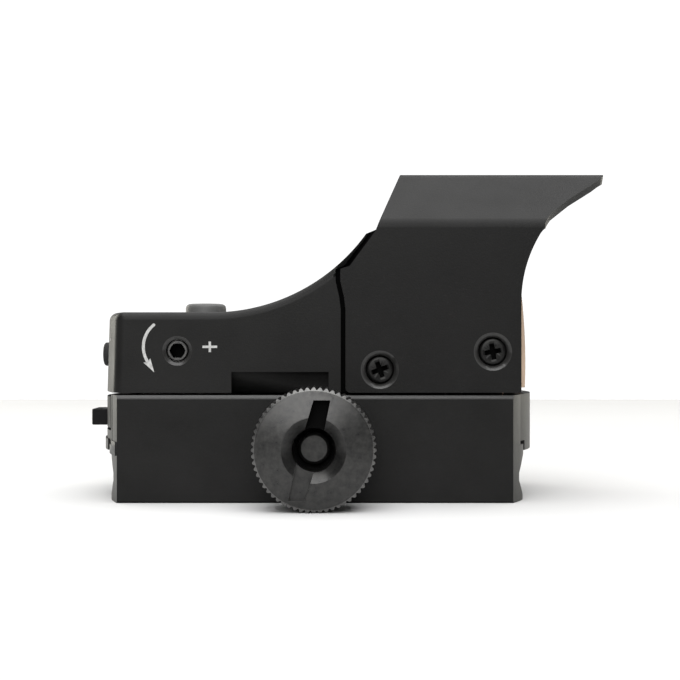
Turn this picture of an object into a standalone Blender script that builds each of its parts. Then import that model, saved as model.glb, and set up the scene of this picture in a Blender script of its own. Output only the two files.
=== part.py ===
"""Compact reflex red dot sight on a cross-bolt rail clamp.

The origin is the middle of the seat that rests on the rail: +X points forward, out of the lens, +Z is up,
and the thumb knob is on the -Y side. Dimensions are in millimetres, and MM turns them into metres.
"""

import math

import bmesh
import bpy
from mathutils import Matrix, Vector

MM = 0.001
GAP = 0.3  # between faces that meet
FREE = 0.15  # between a shaft and its hole

# Mount
MOUNT_HALF_WIDTH = 14.0
MOUNT_TOP = 7.28
MOUNT_BOTTOM = -6.2
# The bulged ends seen from above, as (distance to the end, radius)
BODY_FRONT = (28.5, 22.0)
BODY_REAR = (27.9, 26.7)
PLATE_FRONT = (28.0, 32.0)
PLATE_REAR = (27.35, 40.0)
CHAMFER_HEIGHT = 0.5
CHAMFER_DEPTH = 0.2
BOTTOM_CHAMFER = 0.25
REAR_LIP_PROUD = 0.22
REAR_LIP_HALF_WIDTH = 8.1
REAR_LIP_TOP = 1.45
REAR_LIP_ROOT = 26.0
LONG = 30.0  # past both ends

# Rail groove, as (distance from the middle, height)
SEAT_HALF_WIDTH = 8.0
GROOVE_TOP_SLOPE_END = -2.65
GROOVE_LOW_SLOPE_START = -3.6
GROOVE_LOW_SLOPE_END = -5.5
GROOVE_HALF_WIDTH = SEAT_HALF_WIDTH - GROOVE_TOP_SLOPE_END
LIP_HALF_WIDTH = GROOVE_HALF_WIDTH + GROOVE_LOW_SLOPE_END - GROOVE_LOW_SLOPE_START

# Clamp: the plate rests 1 mm away from closed
PLATE_OPENING = 1.0
PLATE_SHOULDER_FACE = -9.35
PLATE_SKIRT_FACE = -11.0
PLATE_SHOULDER_TOP = 0.9
BODY_LEDGE_FACE = -8.2
BODY_WALL_FACE = -9.8
BODY_LEDGE_TOP = 1.3
STUD_HEIGHT = 1.2
STUD_RADIUS = 1.75
STUD_END = -21.6
STUD_HEAD_RADIUS = 3.3
STUD_HEAD_FACE = 13.8
STUD_HEAD_INNER = 12.6
PIN_X = 5.6
PIN_HEIGHT = 4.4
PIN_RADIUS = 0.9
PIN_OUTER_END = -13.0
PIN_INNER_END = -3.4
PIN_WAY_END = -2.0
JAW_SPRING_POCKET = -6.6
JAW_SPRING_RADIUS = 1.42
JAW_SPRING_WIRE = 0.2

# Thumb knob
KNOB_RADIUS = 7.42
KNOB_TOOTH_DEPTH = 0.46
KNOB_TEETH = 56
KNOB_INNER = -15.1
KNOB_HEAD_INNER = -17.3
KNOB_FACE = -25.3
KNOB_FACE_RADIUS = 6.98
KNOB_FACE_FLAT = 4.0
KNOB_HUB_RADIUS = 5.1
KNOB_BORE_RADIUS = 2.6
KNOB_BORE_DEPTH = 5.8
KNOB_SLOT_WIDTHS = (2.5, 2.0)  # in the middle and at its ends
KNOB_SLOT_HALF_LENGTH = 6.0
KNOB_SLOT_DEPTH = 1.6
KNOB_SLOT_TILT = 13.8  # degrees
KNOB_SLOT_SHIFT = -0.5  # off the middle
WASHER_RADIUS = 4.2
WASHER_INNER = -14.3
WASHER_OUTER = -14.8

# Battery
TRAY_FLOOR = 2.9
TRAY_TOP = 6.9
TRAY_HALF_WIDTH = 8.9
TRAY_FRONT = -8.8
TAB_TOP = 5.05
TAB_HALF_WIDTH = 2.5
TAB_END = -29.9
TAB_ROOT = -26.5
COIN_X = -17.6
COIN_RADIUS = 8.0
COIN_BOTTOM = 3.7
COIN_TOP = 6.9
TAB_GROOVES = (-1.6, -0.8, 0.0, 0.8, 1.6)
RIM_CONTACT_X = (-15.0, -13.0)
LEAF_CONTACT_Y = (3.9, 6.1)
CONTACT_TOP = 13.9

# Housing
HOUSING_BOTTOM = 7.58
HOUSING_REAR = (27.75, 37.5)  # its bulge, as the mount's
HOUSING_HALF_WIDTH = 13.8
HOUSING_EDGE = 1.0  # radius
REAR_LEAN = 0.31
DECK = 17.7
RAMP_START = -12.98
RAMP_RADIUS = 23.9
RAMP_ANGLE = 54.1  # degrees
SHOULDER = (7.87, 28.2)
FRAME_REAR = 18.5
BLANK_FRONT = 30.0  # the casting before its lens seat and underside are cut
BLANK_BOTTOM = 4.0
CAVITY_HALF_WIDTH = 12.0
CAVITY_REAR = (26.4, 32.0)
CAVITY_FRONT = -11.3
CAVITY_TOP = 16.1
CHANNEL_REAR = -9.9
CHANNEL_HALF_WIDTH = 10.8
CHANNEL_FLOOR = 10.4
RECESS_X = (-10.5, 1.67)
RECESS_TOP = 10.2
RECESS_DEPTH = 1.0

# Hood: a sheet folded round the lens, with 45 degree shoulders
HOOD_HALF_WIDTH = 14.3
HOOD_TOP = 35.65
HOOD_BEND = 28.95
HOOD_THICKNESS = 1.2
HOOD_BOTTOM = 7.62
HOOD_FRONT = 25.76
HOOD_REAR = 3.79
HOOD_SWEEP_START = 19.0
HOOD_SWEEP_RADIUS = 16.3
HOOD_SWEEP_ANGLE = 34.3  # degrees
HOOD_SCREWS = ((8.08, 10.49, 20.0), (22.19, 12.75, 10.0))  # x, z, turn of the cross
HOOD_SCREW_HEAD = 1.62
HOOD_SCREW_HEAD_DEPTH = 0.5
HOOD_SCREW_SHANK = 0.95
HOOD_SCREW_LENGTH = 2.6
HOOD_SCREW_BORE = 1.8
HOOD_SCREW_BORE_DEPTH = 0.75
HOOD_SCREW_LIP = 3.0
HOOD_SCREW_LIP_DEPTH = 0.36

# Lens
LENS_CENTRE = (26.83, 21.0)
LENS_TILT = 7.0  # degrees, its top forward
LENS_CURVE = 80.0
LENS_FACES = (0.0, -1.25, -1.35, -2.6)  # where they cross the lens axis
LENS_SEAT = -2.9
LENS_INSET = 2.1  # of its outline, from the hood's outside
LENS_BOTTOM = 8.2
WINDOW_HALF_WIDTH = 10.6
WINDOW_BOTTOM = 10.9
WINDOW_TOP = 32.4
WINDOW_SHOULDER = 3.6
WINDOW_RADIUS = 1.2
SEAL_WIDTH = 0.43
SEAL_TO_LENS = 0.12

# Adjusters
WINDAGE = (-17.28, 12.85)  # x, z
ELEVATION_X = -21.6
ADJUSTER_RADIUS = 1.3
ADJUSTER_SHAFT = 0.7
ADJUSTER_SUNK = 0.3
WINDAGE_SHOULDER = 12.5
WINDAGE_SHAFT_END = -5.8
ELEVATION_SHOULDER = 16.65
ELEVATION_SHAFT_END = 8.6
ADJUSTER_HOLE = 1.42
ADJUSTER_LIP = (2.1, 1.3)
CLIP_RADIUS = 2.0
CLIP_THICKNESS = 0.4
SOCKET = 1.5  # across flats
SOCKET_DEPTH = 0.85
WINDAGE_CARRIAGE = (3.8, 10.0, (10.9, 13.85))  # length, width, bottom and top
EMITTER_HEIGHT = 12.3
EMITTER_RADIUS = 1.0
# The emitter's carriage is a floor with a post at each end, as (low corner, high corner)
CARRIAGE_FLOOR = ((-23.2, -2.2, 9.0), (-12.7, 2.2, 10.2))
CARRIAGE_FRONT = ((-15.1, -3.0, 9.02), (-12.6, 3.0, 13.4))
CARRIAGE_REAR = ((-23.22, -2.22, 9.04), (-20.0, 2.22, 12.6))

# Buttons
POWER_X = -14.96
POWER_RADIUS = 2.73
POWER_TOP = 19.1
MODE_HEIGHT = 12.3
MODE_RADIUS = 1.58
MODE_END = -28.65
MODE_FLANGE = -26.25

# Circuit board
BOARD_BOTTOM = 14.1
BOARD_TOP = 14.8
BOARD_HALF_WIDTH = 9.8
BOARD_FRONT = -13.0
BOARD_INSET = 1.1  # from the cavity's rear wall
SWITCH_SIDE = 3.2

# Screws from the rail seat up into the housing
BASE_SCREWS = ((18.0, -5.5), (18.0, 5.5), (-5.2, 4.2))
BASE_HEAD_RADIUS = 2.0
BASE_HEAD_BOTTOM = 0.5
BASE_HEAD_TOP = 1.9
BASE_SHANK_RADIUS = 1.2
BASE_SHANK_TOP = 9.7
BASE_HOLE_RADIUS = 1.4

PUSH = {  # how an outline's (u, v) and its thickness lie along x, y, z
    "X": Matrix(((0, 0, 1), (1, 0, 0), (0, 1, 0))),
    "Y": Matrix(((1, 0, 0), (0, 0, -1), (0, 1, 0))),
    "Z": Matrix.Identity(3),
}
TURN = {  # how a turned piece's own z lies along an axis
    "X": Matrix.Rotation(math.radians(90), 3, "Y"),
    "Y": Matrix.Rotation(math.radians(-90), 3, "X"),
    "-Y": Matrix.Rotation(math.radians(90), 3, "X"),
    "Z": Matrix.Identity(3),
}


def clear_scene():
    for obj in list(bpy.data.objects):
        bpy.data.objects.remove(obj, do_unlink=True)


def new_group(name):
    group = bpy.data.collections.new(name)
    bpy.context.scene.collection.children.link(group)
    return group


def new_material(name, colour, roughness, metallic):
    made = bpy.data.materials.new(name)
    made.use_nodes = True
    shader = made.node_tree.nodes["Principled BSDF"]
    shader.inputs["Base Color"].default_value = (*colour, 1.0)
    shader.inputs["Roughness"].default_value = roughness
    shader.inputs["Metallic"].default_value = metallic
    made.diffuse_color = (*colour, 1.0)
    return made


clear_scene()
SIGHT = new_group("red_dot_sight")
CUTTERS = new_group("cutters")
BLACK_ANODISED = new_material("black_anodised", (0.021, 0.021, 0.021), 0.45, 0.6)
BLACK_PAINT = new_material("black_paint", (0.027, 0.027, 0.026), 0.5, 0.0)
BLACK_OXIDE = new_material("black_oxide_steel", (0.045, 0.045, 0.045), 0.35, 0.9)
STEEL = new_material("steel", (0.55, 0.55, 0.54), 0.3, 1.0)
BRASS = new_material("brass", (0.78, 0.57, 0.28), 0.3, 1.0)
PLASTIC = new_material("black_plastic", (0.014, 0.014, 0.013), 0.5, 0.0)
RUBBER = new_material("black_rubber", (0.02, 0.02, 0.02), 0.75, 0.0)
GREY_RUBBER = new_material("grey_rubber", (0.12, 0.12, 0.12), 0.7, 0.0)
GLASS = new_material("coated_glass", (0.75, 0.55, 0.42), 0.05, 0.0)
BOARD_GREEN = new_material("circuit_board_green", (0.02, 0.12, 0.05), 0.5, 0.0)
RED_LENS = new_material("red_emitter", (0.5, 0.02, 0.02), 0.2, 0.0)


def new_object(name, mesh, material):
    """A piece of the sight, or a cutter where there is no material."""
    obj = bpy.data.objects.new(name, mesh)
    if material:
        SIGHT.objects.link(obj)
        mesh.materials.append(material)
    else:
        CUTTERS.objects.link(obj)
        obj.hide_render = True
        obj.display_type = "WIRE"
    return obj


def mesh_of(shape, name):
    mesh = bpy.data.meshes.new(name)
    shape.to_mesh(mesh)
    shape.free()
    return mesh


def box(name, low, high, material=None):
    shape = bmesh.new()
    bmesh.ops.create_cube(shape, size=1.0)
    size = Vector(high) - Vector(low)
    middle = (Vector(high) + Vector(low)) / 2
    bmesh.ops.scale(shape, vec=size * MM, verts=shape.verts)
    bmesh.ops.translate(shape, vec=middle * MM, verts=shape.verts)
    return new_object(name, mesh_of(shape, name), material)


def cylinder(name, radius, low, high, axis, centre, material=None, sides=24, end_radius=None):
    """A rod or a cone from low to high along an axis, with centre as the other two coordinates."""
    shape = bmesh.new()
    bmesh.ops.create_cone(
        shape,
        cap_ends=True,
        segments=sides,
        radius1=radius * MM,
        radius2=(radius if end_radius is None else end_radius) * MM,
        depth=(high - low) * MM,
    )
    bmesh.ops.translate(shape, vec=(0, 0, (low + high) / 2 * MM), verts=shape.verts)
    bmesh.ops.rotate(shape, matrix=TURN[axis], verts=shape.verts)
    bmesh.ops.translate(shape, vec=across(axis, centre) * MM, verts=shape.verts)
    mesh = mesh_of(shape, name)
    smooth(mesh)
    return new_object(name, mesh, material)


def across(axis, centre):
    """A point from its two coordinates across an axis."""
    first, second = centre
    if axis == "X":
        return Vector((0, first, second))
    if axis in ("Y", "-Y"):
        return Vector((first, 0, second))
    return Vector((first, second, 0))


def smooth(mesh):
    mesh.shade_smooth()
    mesh.set_sharp_from_angle(angle=math.radians(35))


def plate(name, outline, low, high, axis, material=None):
    """A flat outline pushed from low to high along an axis."""
    curve = bpy.data.curves.new(name, "CURVE")
    curve.dimensions = "2D"
    curve.fill_mode = "BOTH"
    curve.extrude = (high - low) / 2
    spline = curve.splines.new("POLY")
    spline.points.add(len(outline) - 1)
    for point, (u, v) in zip(spline.points, outline):
        point.co = (u, v, 0, 1)
    spline.use_cyclic_u = True
    guide = bpy.data.objects.new(name + "_outline", curve)
    bpy.context.scene.collection.objects.link(guide)
    seen = bpy.context.evaluated_depsgraph_get()
    mesh = bpy.data.meshes.new_from_object(guide.evaluated_get(seen))
    bpy.data.objects.remove(guide, do_unlink=True)
    shape = bmesh.new()
    shape.from_mesh(mesh)
    bmesh.ops.remove_doubles(shape, verts=shape.verts, dist=0.0005)
    bmesh.ops.recalc_face_normals(shape, faces=shape.faces)
    middle = (low + high) / 2
    bmesh.ops.translate(shape, vec=(0, 0, -middle if axis == "Y" else middle), verts=shape.verts)
    bmesh.ops.rotate(shape, matrix=PUSH[axis], verts=shape.verts)
    bmesh.ops.scale(shape, vec=(MM, MM, MM), verts=shape.verts)
    shape.to_mesh(mesh)
    shape.free()
    mesh.materials.clear()
    mesh.name = name
    smooth(mesh)
    return new_object(name, mesh, material)


def turned(name, profile, axis, place, material=None, steps=24, closed=False):
    """A profile of (radius, height) points, top to bottom, turned about its own z."""
    mesh = bpy.data.meshes.new(name)
    shape = bmesh.new()
    points = [shape.verts.new((radius * MM, 0, height * MM)) for radius, height in profile]
    for first, second in zip(points, points[1:]):
        shape.edges.new((first, second))
    if closed:
        shape.edges.new((points[-1], points[0]))
    shape.to_mesh(mesh)
    shape.free()
    obj = new_object(name, mesh, material)
    screw = obj.modifiers.new("turn", "SCREW")
    screw.steps = steps
    screw.render_steps = steps
    screw.use_merge_vertices = True
    screw.merge_threshold = 1e-6
    screw.use_smooth_shade = True
    obj.rotation_euler = TURN[axis].to_euler()
    obj.location = Vector(place) * MM
    return obj


def cut(obj, cutter, operation="DIFFERENCE"):
    step = obj.modifiers.new(cutter.name, "BOOLEAN")
    step.operation = operation
    step.object = cutter
    return obj


def round_edges(obj, width, segments=2, angle=40):
    step = obj.modifiers.new("rounding", "BEVEL")
    step.width = width * MM
    step.segments = segments
    step.limit_method = "ANGLE"
    step.angle_limit = math.radians(angle)
    return obj


def put_origin(obj, point):
    """Moves a piece's origin onto its joint's axis and leaves the piece where it is."""
    place = Vector(point) * MM
    obj.data.transform(Matrix.Translation(-place))
    obj.location = place


def carry(carrier, *pieces):
    """Makes pieces move with the one that carries them."""
    bpy.context.view_layer.update()
    for piece in pieces:
        piece.parent = carrier
        piece.matrix_parent_inverse = carrier.matrix_world.inverted()


def arc(centre, radius, start, end, steps):
    """Points on an arc, from one angle to another in degrees."""
    angles = [math.radians(start + (end - start) * i / steps) for i in range(steps + 1)]
    return [(centre[0] + radius * math.cos(a), centre[1] + radius * math.sin(a)) for a in angles]


def rounded(corners, steps=3):
    """An outline from (u, v, radius) corners, each rounded by its radius."""
    outline = []
    for i, (u, v, radius) in enumerate(corners):
        here = Vector((u, v))
        if not radius:
            outline.append((u, v))
            continue
        before = (Vector(corners[i - 1][:2]) - here).normalized()
        after = (Vector(corners[(i + 1) % len(corners)][:2]) - here).normalized()
        half = before.angle(after) / 2
        middle = here + (before + after).normalized() * (radius / math.sin(half))
        start = here + before * (radius / math.tan(half)) - middle
        end = here + after * (radius / math.tan(half)) - middle
        for j in range(steps + 1):
            outline.append(tuple(middle + start.slerp(end, j / steps) * radius))
    return outline


def reach(bulge, y, proud=0.0):
    """How far a bulged end reaches at some y. A bulge is its distance to the end and its radius."""
    end, radius = bulge
    return end + proud - radius + math.sqrt(radius**2 - y * y)


def spread(low, high, steps=12):
    return [low + (high - low) * i / steps for i in range(steps + 1)]


def bulged_outline(rear, low, high, front, proud=0.0):
    """A plan outline between two y values. Its front is a bulge, or a plain number where it is straight."""
    behind = [(-reach(rear, y, proud), y) for y in spread(high, low)]
    if isinstance(front, tuple):
        return behind + [(reach(front, y, proud), y) for y in spread(low, high)]
    return behind + [(front, low), (front, high)]


def body_outline(half_width):
    """The mount body's plan: its ends curve in towards the plate beside it, and less on the far side."""
    outline = []
    for side, ends in ((-1, (BODY_REAR, PLATE_REAR)), (1, (BODY_FRONT, PLATE_FRONT))):
        for y in spread(-side * half_width, side * half_width):
            own, beside = (reach(bulge, y) for bulge in ends)
            outline.append((side * (max(own, beside) if y > 0 else own), y))
    return outline


def arch(inset, bottom, bend_radius=0.0):
    """The hood's section (y, z), moved in from its outside by an inset."""
    half = HOOD_HALF_WIDTH - inset
    top = HOOD_TOP - inset
    slant = HOOD_HALF_WIDTH + HOOD_BEND - inset * math.sqrt(2)
    right = [(half, bottom, 0.0), (half, slant - half, bend_radius), (slant - top, top, bend_radius)]
    left = [(-u, v, r) for u, v, r in reversed(right)]
    return rounded(right + left)


def groove_side(shift):
    """Half of the rail groove, from its lip up to the seat, moved outward by a shift."""
    return [
        (LIP_HALF_WIDTH + shift, MOUNT_BOTTOM),
        (LIP_HALF_WIDTH + shift, GROOVE_LOW_SLOPE_END),
        (GROOVE_HALF_WIDTH + shift, GROOVE_LOW_SLOPE_START),
        (GROOVE_HALF_WIDTH + shift, GROOVE_TOP_SLOPE_END),
    ]


def outer_side(side):
    """The outer face of the mount's section with its chamfers, from the top down."""
    return [
        (side * (MOUNT_HALF_WIDTH - CHAMFER_DEPTH), MOUNT_TOP),
        (side * MOUNT_HALF_WIDTH, MOUNT_TOP - CHAMFER_HEIGHT),
        (side * MOUNT_HALF_WIDTH, MOUNT_BOTTOM + BOTTOM_CHAMFER),
        (side * (MOUNT_HALF_WIDTH - BOTTOM_CHAMFER), MOUNT_BOTTOM),
    ]


def hexagon(centre, across_flats, turn=0.0):
    radius = across_flats / 2 / math.cos(math.radians(30))
    return arc(centre, radius, turn, turn + 300, 5)


def make_mount_body():
    section = (
        [(BODY_WALL_FACE, MOUNT_TOP)]
        + outer_side(1)
        + groove_side(0.0)
        + [(SEAT_HALF_WIDTH, 0.0), (BODY_LEDGE_FACE, 0.0)]
        + [(BODY_LEDGE_FACE, BODY_LEDGE_TOP), (BODY_WALL_FACE, BODY_LEDGE_TOP)]
    )
    body = plate("mount_body", section, -LONG, LONG, "X", BLACK_ANODISED)
    plan = body_outline(MOUNT_HALF_WIDTH + 1)
    cut(body, plate("mount_plan", plan, MOUNT_BOTTOM - 1, MOUNT_TOP + 1, "Z"), "INTERSECT")
    wide = REAR_LIP_HALF_WIDTH
    lip = bulged_outline(BODY_REAR, -wide, wide, -REAR_LIP_ROOT, REAR_LIP_PROUD)
    cut(body, plate("mount_rear_lip", lip, 0.02, REAR_LIP_TOP, "Z"), "UNION")
    side = TRAY_HALF_WIDTH + GAP
    pocket_front = TRAY_FRONT + GAP
    cut(body, box("tray_pocket", (-30, -side, TRAY_FLOOR - GAP), (pocket_front, side, MOUNT_TOP + 1)))
    bore = STUD_RADIUS + FREE
    cut(body, cylinder("stud_way", bore, -20, 20, "Y", (0, STUD_HEIGHT)))
    head = STUD_HEAD_RADIUS + GAP
    cut(body, cylinder("stud_head_way", head, STUD_HEAD_INNER - FREE, 16, "Y", (0, STUD_HEIGHT)))
    pin = PIN_RADIUS + FREE
    spring = JAW_SPRING_RADIUS + JAW_SPRING_WIRE + FREE
    for x in (-PIN_X, PIN_X):
        place = (x, PIN_HEIGHT)
        cut(body, cylinder("pin_way", pin, -12, PIN_WAY_END, "Y", place, sides=16))
        cut(body, cylinder("spring_way", spring, -12, JAW_SPRING_POCKET, "Y", place, sides=16))
    head = BASE_HEAD_RADIUS + GAP
    for place in BASE_SCREWS:
        cut(body, cylinder("base_head_way", head, -1, BASE_HEAD_TOP + FREE, "Z", place, sides=20))
        cut(body, cylinder("base_shank_way", BASE_HOLE_RADIUS, 1.5, MOUNT_TOP + 1, "Z", place, sides=16))
    return body


def make_clamp_plate():
    hook = [(-y, z) for y, z in groove_side(PLATE_OPENING)]
    slope_meets_face = PLATE_SHOULDER_FACE + SEAT_HALF_WIDTH + PLATE_OPENING
    section = (
        outer_side(-1)
        + hook
        + [(PLATE_SHOULDER_FACE, slope_meets_face), (PLATE_SHOULDER_FACE, PLATE_SHOULDER_TOP)]
        + [(PLATE_SKIRT_FACE, PLATE_SHOULDER_TOP), (PLATE_SKIRT_FACE, MOUNT_TOP)]
    )
    jaw = plate("clamp_plate", section, -LONG, LONG, "X", BLACK_ANODISED)
    plan = bulged_outline(PLATE_REAR, -MOUNT_HALF_WIDTH - 1, MOUNT_HALF_WIDTH + 1, PLATE_FRONT)
    cut(jaw, plate("clamp_plan", plan, MOUNT_BOTTOM - 1, MOUNT_TOP + 1, "Z"), "INTERSECT")
    near = -MOUNT_HALF_WIDTH + 0.1
    steps = ((PLATE_SHOULDER_FACE, PLATE_SHOULDER_TOP), (PLATE_SKIRT_FACE, REAR_LIP_TOP))
    for i, (far, top) in enumerate(steps):
        lip = bulged_outline(PLATE_REAR, near, far - 0.02, 3 - REAR_LIP_ROOT, REAR_LIP_PROUD + i * 0.001)
        cut(jaw, plate(f"plate_rear_lip_{i}", lip, i * 0.5 - GAP, top - 0.02, "Z"), "UNION")
    cut(jaw, cylinder("plate_stud_way", STUD_RADIUS + FREE, -20, 0, "Y", (0, STUD_HEIGHT)))
    outer = PIN_OUTER_END - FREE
    for x in (-PIN_X, PIN_X):
        cut(jaw, cylinder("plate_pin_way", PIN_RADIUS + FREE, outer, -5, "Y", (x, PIN_HEIGHT), sides=16))
    put_origin(jaw, (0, 0, STUD_HEIGHT))
    return jaw


def make_stud():
    profile = [
        (0, -STUD_END),
        (STUD_RADIUS - 0.33, -STUD_END),
        (STUD_RADIUS, -STUD_END - 0.35),
        (STUD_RADIUS, -STUD_HEAD_INNER),
        (STUD_HEAD_RADIUS, -STUD_HEAD_INNER),
        (STUD_HEAD_RADIUS, -STUD_HEAD_FACE + 0.3),
        (STUD_HEAD_RADIUS - 0.3, -STUD_HEAD_FACE),
        (0, -STUD_HEAD_FACE),
    ]
    stud = turned("clamp_stud", profile, "-Y", (0, 0, STUD_HEIGHT), BLACK_OXIDE)
    slot = box("stud_slot", (-0.45, STUD_HEAD_FACE - 0.7, -9), (0.45, 20, 9))
    return cut(stud, slot)


def knurled_outline(centre, radius, depth, teeth):
    """A ring of pointed teeth."""
    outline = []
    pitch = 360 / teeth
    for i in range(teeth):
        outline += arc(centre, radius, (i - 0.08) * pitch, (i + 0.08) * pitch, 1)
        outline += arc(centre, radius - depth, (i + 0.5) * pitch, (i + 0.5) * pitch, 1)[:1]
    return outline


def make_knob():
    centre = (0, STUD_HEIGHT)
    outline = knurled_outline(centre, KNOB_RADIUS, KNOB_TOOTH_DEPTH, KNOB_TEETH)
    knob = plate("thumb_knob", outline, KNOB_FACE - 1, KNOB_INNER + 1, "Y", BLACK_ANODISED)
    face, head = -KNOB_FACE, -KNOB_HEAD_INNER
    profile = [
        (KNOB_FACE_FLAT, face),
        (KNOB_FACE_RADIUS, face - 0.55),
        (KNOB_RADIUS + 0.3, face - 1.1),
        (KNOB_RADIUS + 0.3, head + 0.5),
        (KNOB_FACE_RADIUS, head),
        (KNOB_HUB_RADIUS, head),
        (KNOB_HUB_RADIUS, -KNOB_INNER),
        (STUD_RADIUS + FREE, -KNOB_INNER),
        (STUD_RADIUS + FREE, face - KNOB_BORE_DEPTH),
        (KNOB_BORE_RADIUS, face - KNOB_BORE_DEPTH + 0.4),
        (KNOB_BORE_RADIUS, face - 1.1),
    ]
    envelope = turned("knob_envelope", profile, "-Y", (0, 0, STUD_HEIGHT), steps=40, closed=True)
    cut(knob, envelope, "INTERSECT")
    half = KNOB_SLOT_HALF_LENGTH
    middle, end = (width / 2 for width in KNOB_SLOT_WIDTHS)
    outline = [(-end, -half), (end, -half), (middle, 0), (end, half), (-end, half), (-middle, 0)]
    slot = plate("knob_slot", outline, KNOB_FACE - 1, KNOB_FACE + KNOB_SLOT_DEPTH, "Y")
    slot.location = (KNOB_SLOT_SHIFT * MM, 0, STUD_HEIGHT * MM)
    slot.rotation_euler = (0, math.radians(KNOB_SLOT_TILT), 0)
    cut(knob, slot)
    put_origin(knob, (0, 0, STUD_HEIGHT))
    return knob


def make_washer():
    inner = STUD_RADIUS + FREE
    profile = [
        (WASHER_RADIUS, -WASHER_OUTER),
        (WASHER_RADIUS, -WASHER_INNER),
        (inner, -WASHER_INNER),
        (inner, -WASHER_OUTER),
    ]
    return turned("knob_washer", profile, "-Y", (0, 0, STUD_HEIGHT), STEEL, closed=True)


def make_jaw_pin(name, x):
    profile = [
        (0, -PIN_OUTER_END),
        (PIN_RADIUS, -PIN_OUTER_END),
        (PIN_RADIUS, -PIN_INNER_END + 0.2),
        (PIN_RADIUS - 0.2, -PIN_INNER_END),
        (0, -PIN_INNER_END),
    ]
    return turned(name, profile, "-Y", (x, 0, PIN_HEIGHT), STEEL, steps=16)


def make_coil(name, ends, axis, centre, radius, wire, turns):
    """A compression spring between two ends along an axis."""
    curve = bpy.data.curves.new(name, "CURVE")
    curve.dimensions = "3D"
    curve.bevel_depth = wire * MM
    curve.bevel_resolution = 1
    curve.use_fill_caps = True
    count = turns * 8
    spline = curve.splines.new("POLY")
    spline.points.add(count)
    low = ends[0] + wire
    high = ends[1] - wire
    for i, point in enumerate(spline.points):
        angle = math.tau * turns * i / count
        ring = Vector((radius * math.cos(angle), radius * math.sin(angle), low + (high - low) * i / count))
        place = TURN[axis] @ ring + across(axis, centre)
        point.co = (*(place * MM), 1)
    curve.materials.append(STEEL)
    obj = bpy.data.objects.new(name, curve)
    SIGHT.objects.link(obj)
    return obj


def make_base_screw(name, place):
    profile = [
        (0, BASE_SHANK_TOP),
        (BASE_SHANK_RADIUS - 0.3, BASE_SHANK_TOP),
        (BASE_SHANK_RADIUS, BASE_SHANK_TOP - 0.3),
        (BASE_SHANK_RADIUS, BASE_HEAD_TOP),
        (BASE_HEAD_RADIUS, BASE_HEAD_TOP),
        (BASE_HEAD_RADIUS, BASE_HEAD_BOTTOM + 0.2),
        (BASE_HEAD_RADIUS - 0.2, BASE_HEAD_BOTTOM),
        (0, BASE_HEAD_BOTTOM),
    ]
    screw = turned(name, profile, "Z", (*place, 0), BLACK_OXIDE, steps=16)
    socket = hexagon(place, SOCKET)
    return cut(screw, plate(name + "_socket", socket, BASE_HEAD_BOTTOM - 0.2, BASE_HEAD_BOTTOM + 0.8, "Z"))


def make_battery_tray():
    plan = bulged_outline(BODY_REAR, -TRAY_HALF_WIDTH, TRAY_HALF_WIDTH, TRAY_FRONT)
    tray = plate("battery_tray", plan, TRAY_FLOOR, TRAY_TOP, "Z", PLASTIC)
    wide = TAB_HALF_WIDTH
    tab = box("tray_tab", (TAB_END, -wide, TRAY_FLOOR + 0.02), (TAB_ROOT, wide, TAB_TOP))
    round_edges(tab, 0.2)
    cut(tray, tab, "UNION")
    low = COIN_BOTTOM - FREE
    cut(tray, cylinder("coin_pocket", COIN_RADIUS + FREE, low, 9, "Z", (COIN_X, 0), sides=40))
    cut(tray, box("contact_way", (RIM_CONTACT_X[0] - 1, 5.0, 4.6), (TRAY_FRONT + 1, 10, 9)))
    first, last = TAB_END + 0.4, TAB_END + 1.3
    low = TAB_TOP - 0.3
    for y in TAB_GROOVES:
        cut(tray, box("tab_groove", (first, y - 0.2, low), (last, y + 0.2, TAB_TOP + 1)))
    put_origin(tray, (COIN_X, 0, TRAY_FLOOR))
    return tray


def make_coin():
    profile = [
        (0, COIN_TOP),
        (COIN_RADIUS - 1.3, COIN_TOP),
        (COIN_RADIUS - 1.0, COIN_TOP - 0.35),
        (COIN_RADIUS - 0.35, COIN_TOP - 0.35),
        (COIN_RADIUS, COIN_TOP - 0.7),
        (COIN_RADIUS, COIN_BOTTOM + 0.3),
        (COIN_RADIUS - 0.3, COIN_BOTTOM),
        (0, COIN_BOTTOM),
    ]
    return turned("coin_cell", profile, "Z", (COIN_X, 0, 0), STEEL, steps=40)


def housing_side():
    """The housing seen from the side, (x, z)."""
    ramp_centre = (RAMP_START, DECK + RAMP_RADIUS)
    return (
        [(BLANK_FRONT, BLANK_BOTTOM), (-30, BLANK_BOTTOM), (-30, DECK)]
        + arc(ramp_centre, RAMP_RADIUS, -90, -90 + RAMP_ANGLE, 14)
        + [SHOULDER, (FRAME_REAR, SHOULDER[1]), (FRAME_REAR, 36), (BLANK_FRONT, 36)]
    )


def hood_side(growth=0.0):
    """The hood seen from the side, (x, z). Growth moves its rear and lower edges out."""
    sweep_centre = (HOOD_FRONT + HOOD_SWEEP_RADIUS, HOOD_SWEEP_START)
    sweep = arc(sweep_centre, HOOD_SWEEP_RADIUS, 180, 180 - HOOD_SWEEP_ANGLE, 8)
    lip = [(29.7, 29.35), (31.2, 30.4), (34.5, 32.6), (35.9, 33.7), (36.8, 34.7), (37.2, 35.4), (37.2, 37)]
    rear = [(11.5, 37), (8.1, 29.3), (7.5, 27.8), (4.3, 23.45), (3.14, 23.1), (3.14, 21.6), (3.6, 19.6)]
    foot = rounded(
        [
            (HOOD_REAR - growth, 18.0, 0.0),
            (HOOD_REAR - growth, HOOD_BOTTOM - 2 * growth, 0.6),
            (HOOD_FRONT, HOOD_BOTTOM - 2 * growth, 0.3),
            (HOOD_FRONT, HOOD_SWEEP_START - 0.5, 0.0),
        ]
    )
    return [(x - growth, z) for x, z in rear] + foot + sweep + lip


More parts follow.
